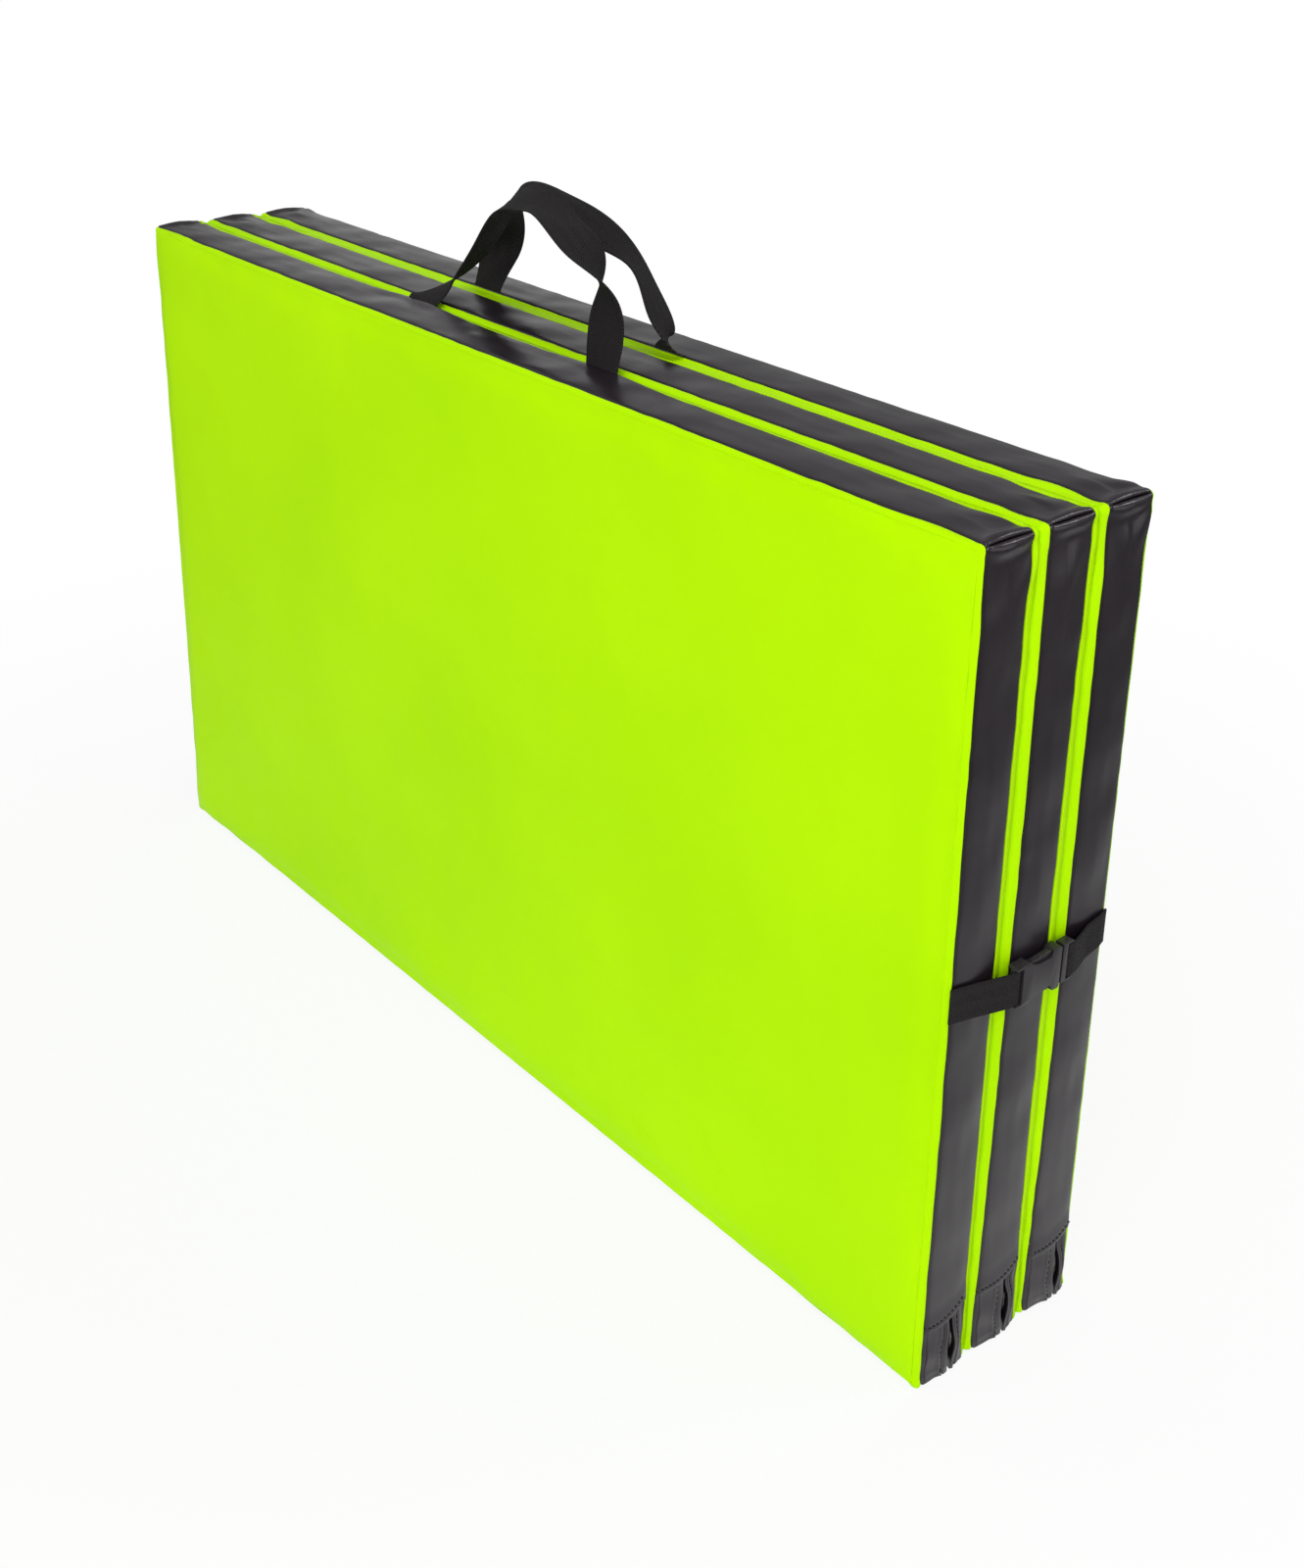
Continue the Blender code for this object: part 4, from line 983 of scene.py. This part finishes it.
# Each loop: seam's place, knots along X, Y and Z, twist at each knot in degrees, and where the mat
# unfolds, the way it is laid flat and how much of it stays
LOOPS = {
    "front_handle": (
        -0.0343,
        [
            (-0.1269, 0, 0), (-0.1192, 0.0291, 0.0164), (-0.0902, 0.0389, 0.0521),
            (-0.0546, 0.0349, 0.0881), (-0.0129, 0.0290, 0.0972), (0.0315, 0.0147, 0.0936),
            (0.0730, 0.0081, 0.0774), (0.0953, 0.0092, 0.0424), (0.1037, 0, 0),
        ],
        (-90, -32, -17, -23, -25, 4, 2, 86, 90),
        (0.0, 1.0, 0.0),
        0.06,
    ),
    "rear_handle": (
        0.0343,
        [
            (-0.1342, 0, 0), (-0.1328, 0.0131, 0.0351), (-0.1107, 0.0017, 0.0632),
            (-0.0783, -0.0087, 0.0869), (-0.0343, -0.0045, 0.0914), (0.0124, 0.0041, 0.0712),
            (0.0551, 0.0077, 0.0475), (0.0900, -0.0018, 0.0187), (0.0968, 0, 0),
        ],
        (90, 56, -20, -28, 7, -4, 31, 27, 90),
        (0.0, 0.0, 1.0),
        0.002,
    ),
}


def handles():
    """The two loops: along each the centre is a spline and the width is turned by a twist."""
    place = np.arange(241)
    last = place[-1]
    at_foot = np.minimum(place, last - place) / last
    for name, (seam_y, knots, twists, aside, keep) in LOOPS.items():
        centres = spline(knots, len(place)) + np.array([0, seam_y, HEIGHT - SEAM_DROP + FOOT_GAP])
        turn = np.radians(spline(twists, len(place)))[:, None]
        run = unit(np.gradient(centres, axis=0))
        across = unit(np.array([0.0, 1.0, 0.0]) - run[:, 1:2] * run)
        sideways = np.cos(turn) * across + np.sin(turn) * np.cross(across, run)
        sideways[:, 2] *= smooth(0, 0.012, at_foot)
        sideways = unit(sideways)
        dip = np.abs(sideways[:, 2]) * HANDLE_SIZE[0] / 2
        centres[:, 2] = np.maximum(centres[:, 2], centres[[0, -1], 2].min() + dip)
        cup = 0.0012 * waver(at_foot * 0.6, (0.21, 0.13), 5) * smooth(0, 0.1, at_foot)
        loop = webbing(name + "_webbing", centres, sideways, HANDLE_SIZE, name, name, cup)
        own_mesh(loop)


def strap():
    """The strap's two halves on the right end: routes of (y, x, z)."""
    half = STRAP_SIZE[1] / 2
    middle_x = HALF_LENGTH + BUCKLE_STAND_OFF + BUCKLE_THICKNESS / 2
    run_x = HALF_LENGTH + STRAP_STAND_OFF + half
    seam_x = run_x - SEAM_DROP
    over_bar = middle_x + STRAP_BAR / 2 + FIT_GAP + half
    seam = PITCH + 0.0200
    socket_end, plug_base = BUCKLE_PLACE + SOCKET_END, BUCKLE_PLACE + PLUG_FACE + PLUG_BASE
    socket_slot, plug_slot = socket_end + STRAP_BAR + STRAP_SLOT / 2, plug_base + STRAP_SLOT / 2
    plug_end = plug_base + STRAP_SLOT + STRAP_BAR
    level, sewn = 0.2945, 0.2975
    front = [
        (-seam - 0.0008, seam_x, sewn + 0.0015),
        (-seam + 0.006, run_x, sewn + 0.0012),
        (socket_end - 0.0300, run_x + 0.0012, level + 0.0022),
        (socket_end - 0.0120, over_bar - 0.0022, level + 0.0006),
        (socket_end - 0.0040, over_bar - 0.0006, level),
        (socket_end - 0.0004, over_bar, level),
        (socket_slot - 0.0010, over_bar, level),
        (socket_slot - 0.0002, over_bar - 0.0002, level),
        (socket_slot + 0.0003, over_bar - 0.0009, level),
        (socket_slot + 0.0003, middle_x - 0.0008, level),
    ]
    rear = [
        (plug_slot - 0.0003, middle_x - 0.0008, level),
        (plug_slot - 0.0003, over_bar - 0.0009, level),
        (plug_slot + 0.0002, over_bar - 0.0002, level),
        (plug_slot + 0.0010, over_bar, level),
        (plug_end + 0.0004, over_bar, level),
        (plug_end + 0.0040, over_bar - 0.0008, level),
        (plug_end + 0.0110, over_bar - 0.0028, level + 0.0003),
        (plug_end + 0.0200, run_x + 0.0014, level + 0.0010),
        (seam - 0.006, run_x, sewn - 0.0006),
        (seam + 0.0006, seam_x - 0.0008, sewn),
    ]
    for node, route, body, lead in (
        ("strap_front_webbing", front, "front_panel", 0.0),
        ("strap_rear_webbing", rear, None, 0.3),
    ):
        knots = np.array(route)[:, [1, 0, 2]]
        run = distances(knots)
        even = np.unique(np.r_[np.arange(0, run[-1], 0.0006), run])
        centres = np.stack([np.interp(even, run, knots[:, k]) for k in range(3)], -1)
        kernel = np.array([1, 4, 6, 4, 1]) / 16
        for _ in range(3):
            padded = np.concatenate([centres[:1]] * 2 + [centres] + [centres[-1:]] * 2)
            soft = np.stack([np.convolve(padded[:, k], kernel, "valid") for k in range(3)], -1)
            centres[1:-1] = soft[1:-1]
        upright = np.tile([0.0, 0.0, 1.0], (len(centres), 1))
        piece = webbing(node + "_woven", centres, upright, STRAP_SIZE, body, node, lead=lead)
        if body is None:
            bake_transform(piece)


def hinge_strips():
    """The strips sewn across the gaps: a shallow trough between two rims, turning down at both
    edges, with small puckers along it."""
    s = stations(-0.4915, 0.4915, 0.003, 0.005, 0.04)[:, None]
    t = np.linspace(-1, 1, 13)[None]
    sag = 0.0009 * (1 - t**2) - 0.0004 * waver(s + 0.002 * t, (0.041, 0.027, 0.09), 3) * (1 - t**4)
    turned = 0.0013 * np.clip(np.abs(t) - 0.72, 0, 1) ** 2 / 0.08
    for name, y, rims, way, bodies in (
        ("top_hinge_strip", PITCH / 2, HEIGHT - 0.0016, -1, ("rear_panel", "middle_panel")),
        ("bottom_hinge_strip", -PITCH / 2, 0.0013, 1, ("middle_panel", "front_panel")),
    ):
        level = rims + way * sag + way * turned
        points = xyz(s, y + 0.0046 * t, level)
        faces = grid_faces(*points.shape[:2], flip=way > 0)
        piece = thicken(new_piece(name + "_cover", points, faces, LIME_PVC, None, "lime_vinyl", name))
        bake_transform(piece)


# Build

simulate_cover()
for each in PANELS:
    panel_pieces(each)
    panel_stitches(each)
    softened(f"{each}_panel_zip_slider", ZIP_METAL, f"{each}_zip_slider", 0.00025)
    softened(f"{each}_panel_zip_pull", ZIP_METAL, f"{each}_zip_pull", 0.0003)
hinge_strips()
handles()
strap()
for node, body, width in (
    ("buckle_socket", "front_panel", 0.0008),
    ("buckle_plug", "buckle_plug", 0.0006),
    ("buckle_latch_upper", "latch_upper", 0.0004),
    ("buckle_latch_lower", "latch_lower", 0.0004),
):
    softened(node, ACETAL, body, width, 3)


# Studio


def studio():
    """A pale floor that turns white away from the mat and, in reflections, glows with a painted reflection
    that is bright next to the mat and fades far off; soft lamps; and the camera.
    """
    finish, tree, shader = new_finish("pale_floor", {"Base Color": linear("#F2F2F0"), "Roughness": 0.8})
    place = add(tree, "TexCoord", out="Object")
    distance = add(tree, "VectorMath", {0: place}, "Value", operation="LENGTH")
    far = add(tree, "MapRange", {"Value": distance, "From Min": 0.45, "From Max": 1.2, "To Min": 0.88})
    # Painted reflection: reflected rays see the floor glow at strength 1 next to the mat, falling to 0.16 far
    # off, so the mat's dark ends reflect a bright floor near their bottoms; camera rays see it white
    painted_reflection_fade = {"From Min": 0.55, "From Max": 1.4, "To Min": 1.0, "To Max": 0.16}
    painted_reflection_glow = add(tree, "MapRange", {"Value": distance, **painted_reflection_fade})
    ray = add(tree, "LightPath").node.outputs
    seen = add(tree, "Math", {0: ray["Is Camera Ray"], 1: ray["Is Glossy Ray"]}, operation="MAXIMUM")
    seen = add(tree, "Math", {0: seen, 1: ray["Is Transmission Ray"]}, operation="MAXIMUM")
    share = add(tree, "Math", {0: seen, 1: far}, operation="MULTIPLY")
    # Camera rays get full strength; reflected rays get the painted reflection glow
    level = add(tree, "Math", {0: ray["Is Camera Ray"], 1: painted_reflection_glow}, operation="MAXIMUM")
    white = add(tree, "Emission", {"Color": (1, 1, 1, 1), "Strength": level})
    mix = add(tree, "MixShader", {0: share, 1: shader.outputs[0], 2: white})
    feed(tree.nodes["Material Output"], {"Surface": mix})
    mesh = bpy.data.meshes.new("floor")
    turn = np.linspace(0, 2 * math.pi, 64, endpoint=False)
    ring = xyz(9 * np.cos(turn), 9 * np.sin(turn), 0)
    mesh.from_pydata(ring, [], [list(range(64))])
    mesh.materials.append(finish)
    show("floor", mesh)

    world = bpy.data.worlds.new("studio")
    world.use_nodes = True
    bpy.context.scene.world = world
    ray = add(world.node_tree, "LightPath").node.outputs
    level = add(world.node_tree, "MapRange", {"Value": ray["Is Camera Ray"], "To Min": 0.4, "To Max": 1.0})
    feed(world.node_tree.nodes["Background"], {"Color": (1, 1, 1, 1), "Strength": level})

    for name, where, size, power in (
        ("key", (1.9, -2.5, 1.9), 2.4, 59),
        ("fill", (-2.2, -1.9, 1.8), 2.2, 5),
        ("top", (0.6, -0.5, 2.8), 2.0, 12),
        ("sheen", (-2.6, 1.6, 1.1), 1.2, 1.2),
        ("edge", (1.6, 1.9, 2.0), 0.7, 14),
        ("end", (2.6, 1.2, 0.35), 1.4, 6.5),
    ):
        lamp = bpy.data.lights.new(name, "AREA")
        lamp.shape, lamp.size, lamp.energy = "DISK", size, power
        made = show(name, lamp)
        made.location = where
        made.rotation_euler = (Vector((0, 0, 0.3)) - Vector(where)).to_track_quat("-Z", "Y").to_euler()

    camera = bpy.data.cameras.new("camera")
    camera.lens, camera.sensor_width = 44.504, 36.0
    camera.shift_x, camera.shift_y = -0.0405, -0.1626
    made = show("camera", camera)
    right, up, back = (0.6589, 0.7517, 0.0278), (-0.2850, 0.2153, 0.9340), (0.6961, -0.6234, 0.3561)
    turn = Matrix((right, up, back)).transposed().to_quaternion().to_matrix().to_4x4()
    made.matrix_world = Matrix.Translation((1.1408, -0.8507, 0.9837)) @ turn
    bpy.context.scene.camera = made
    bpy.context.scene.view_settings.view_transform = "Standard"


studio()
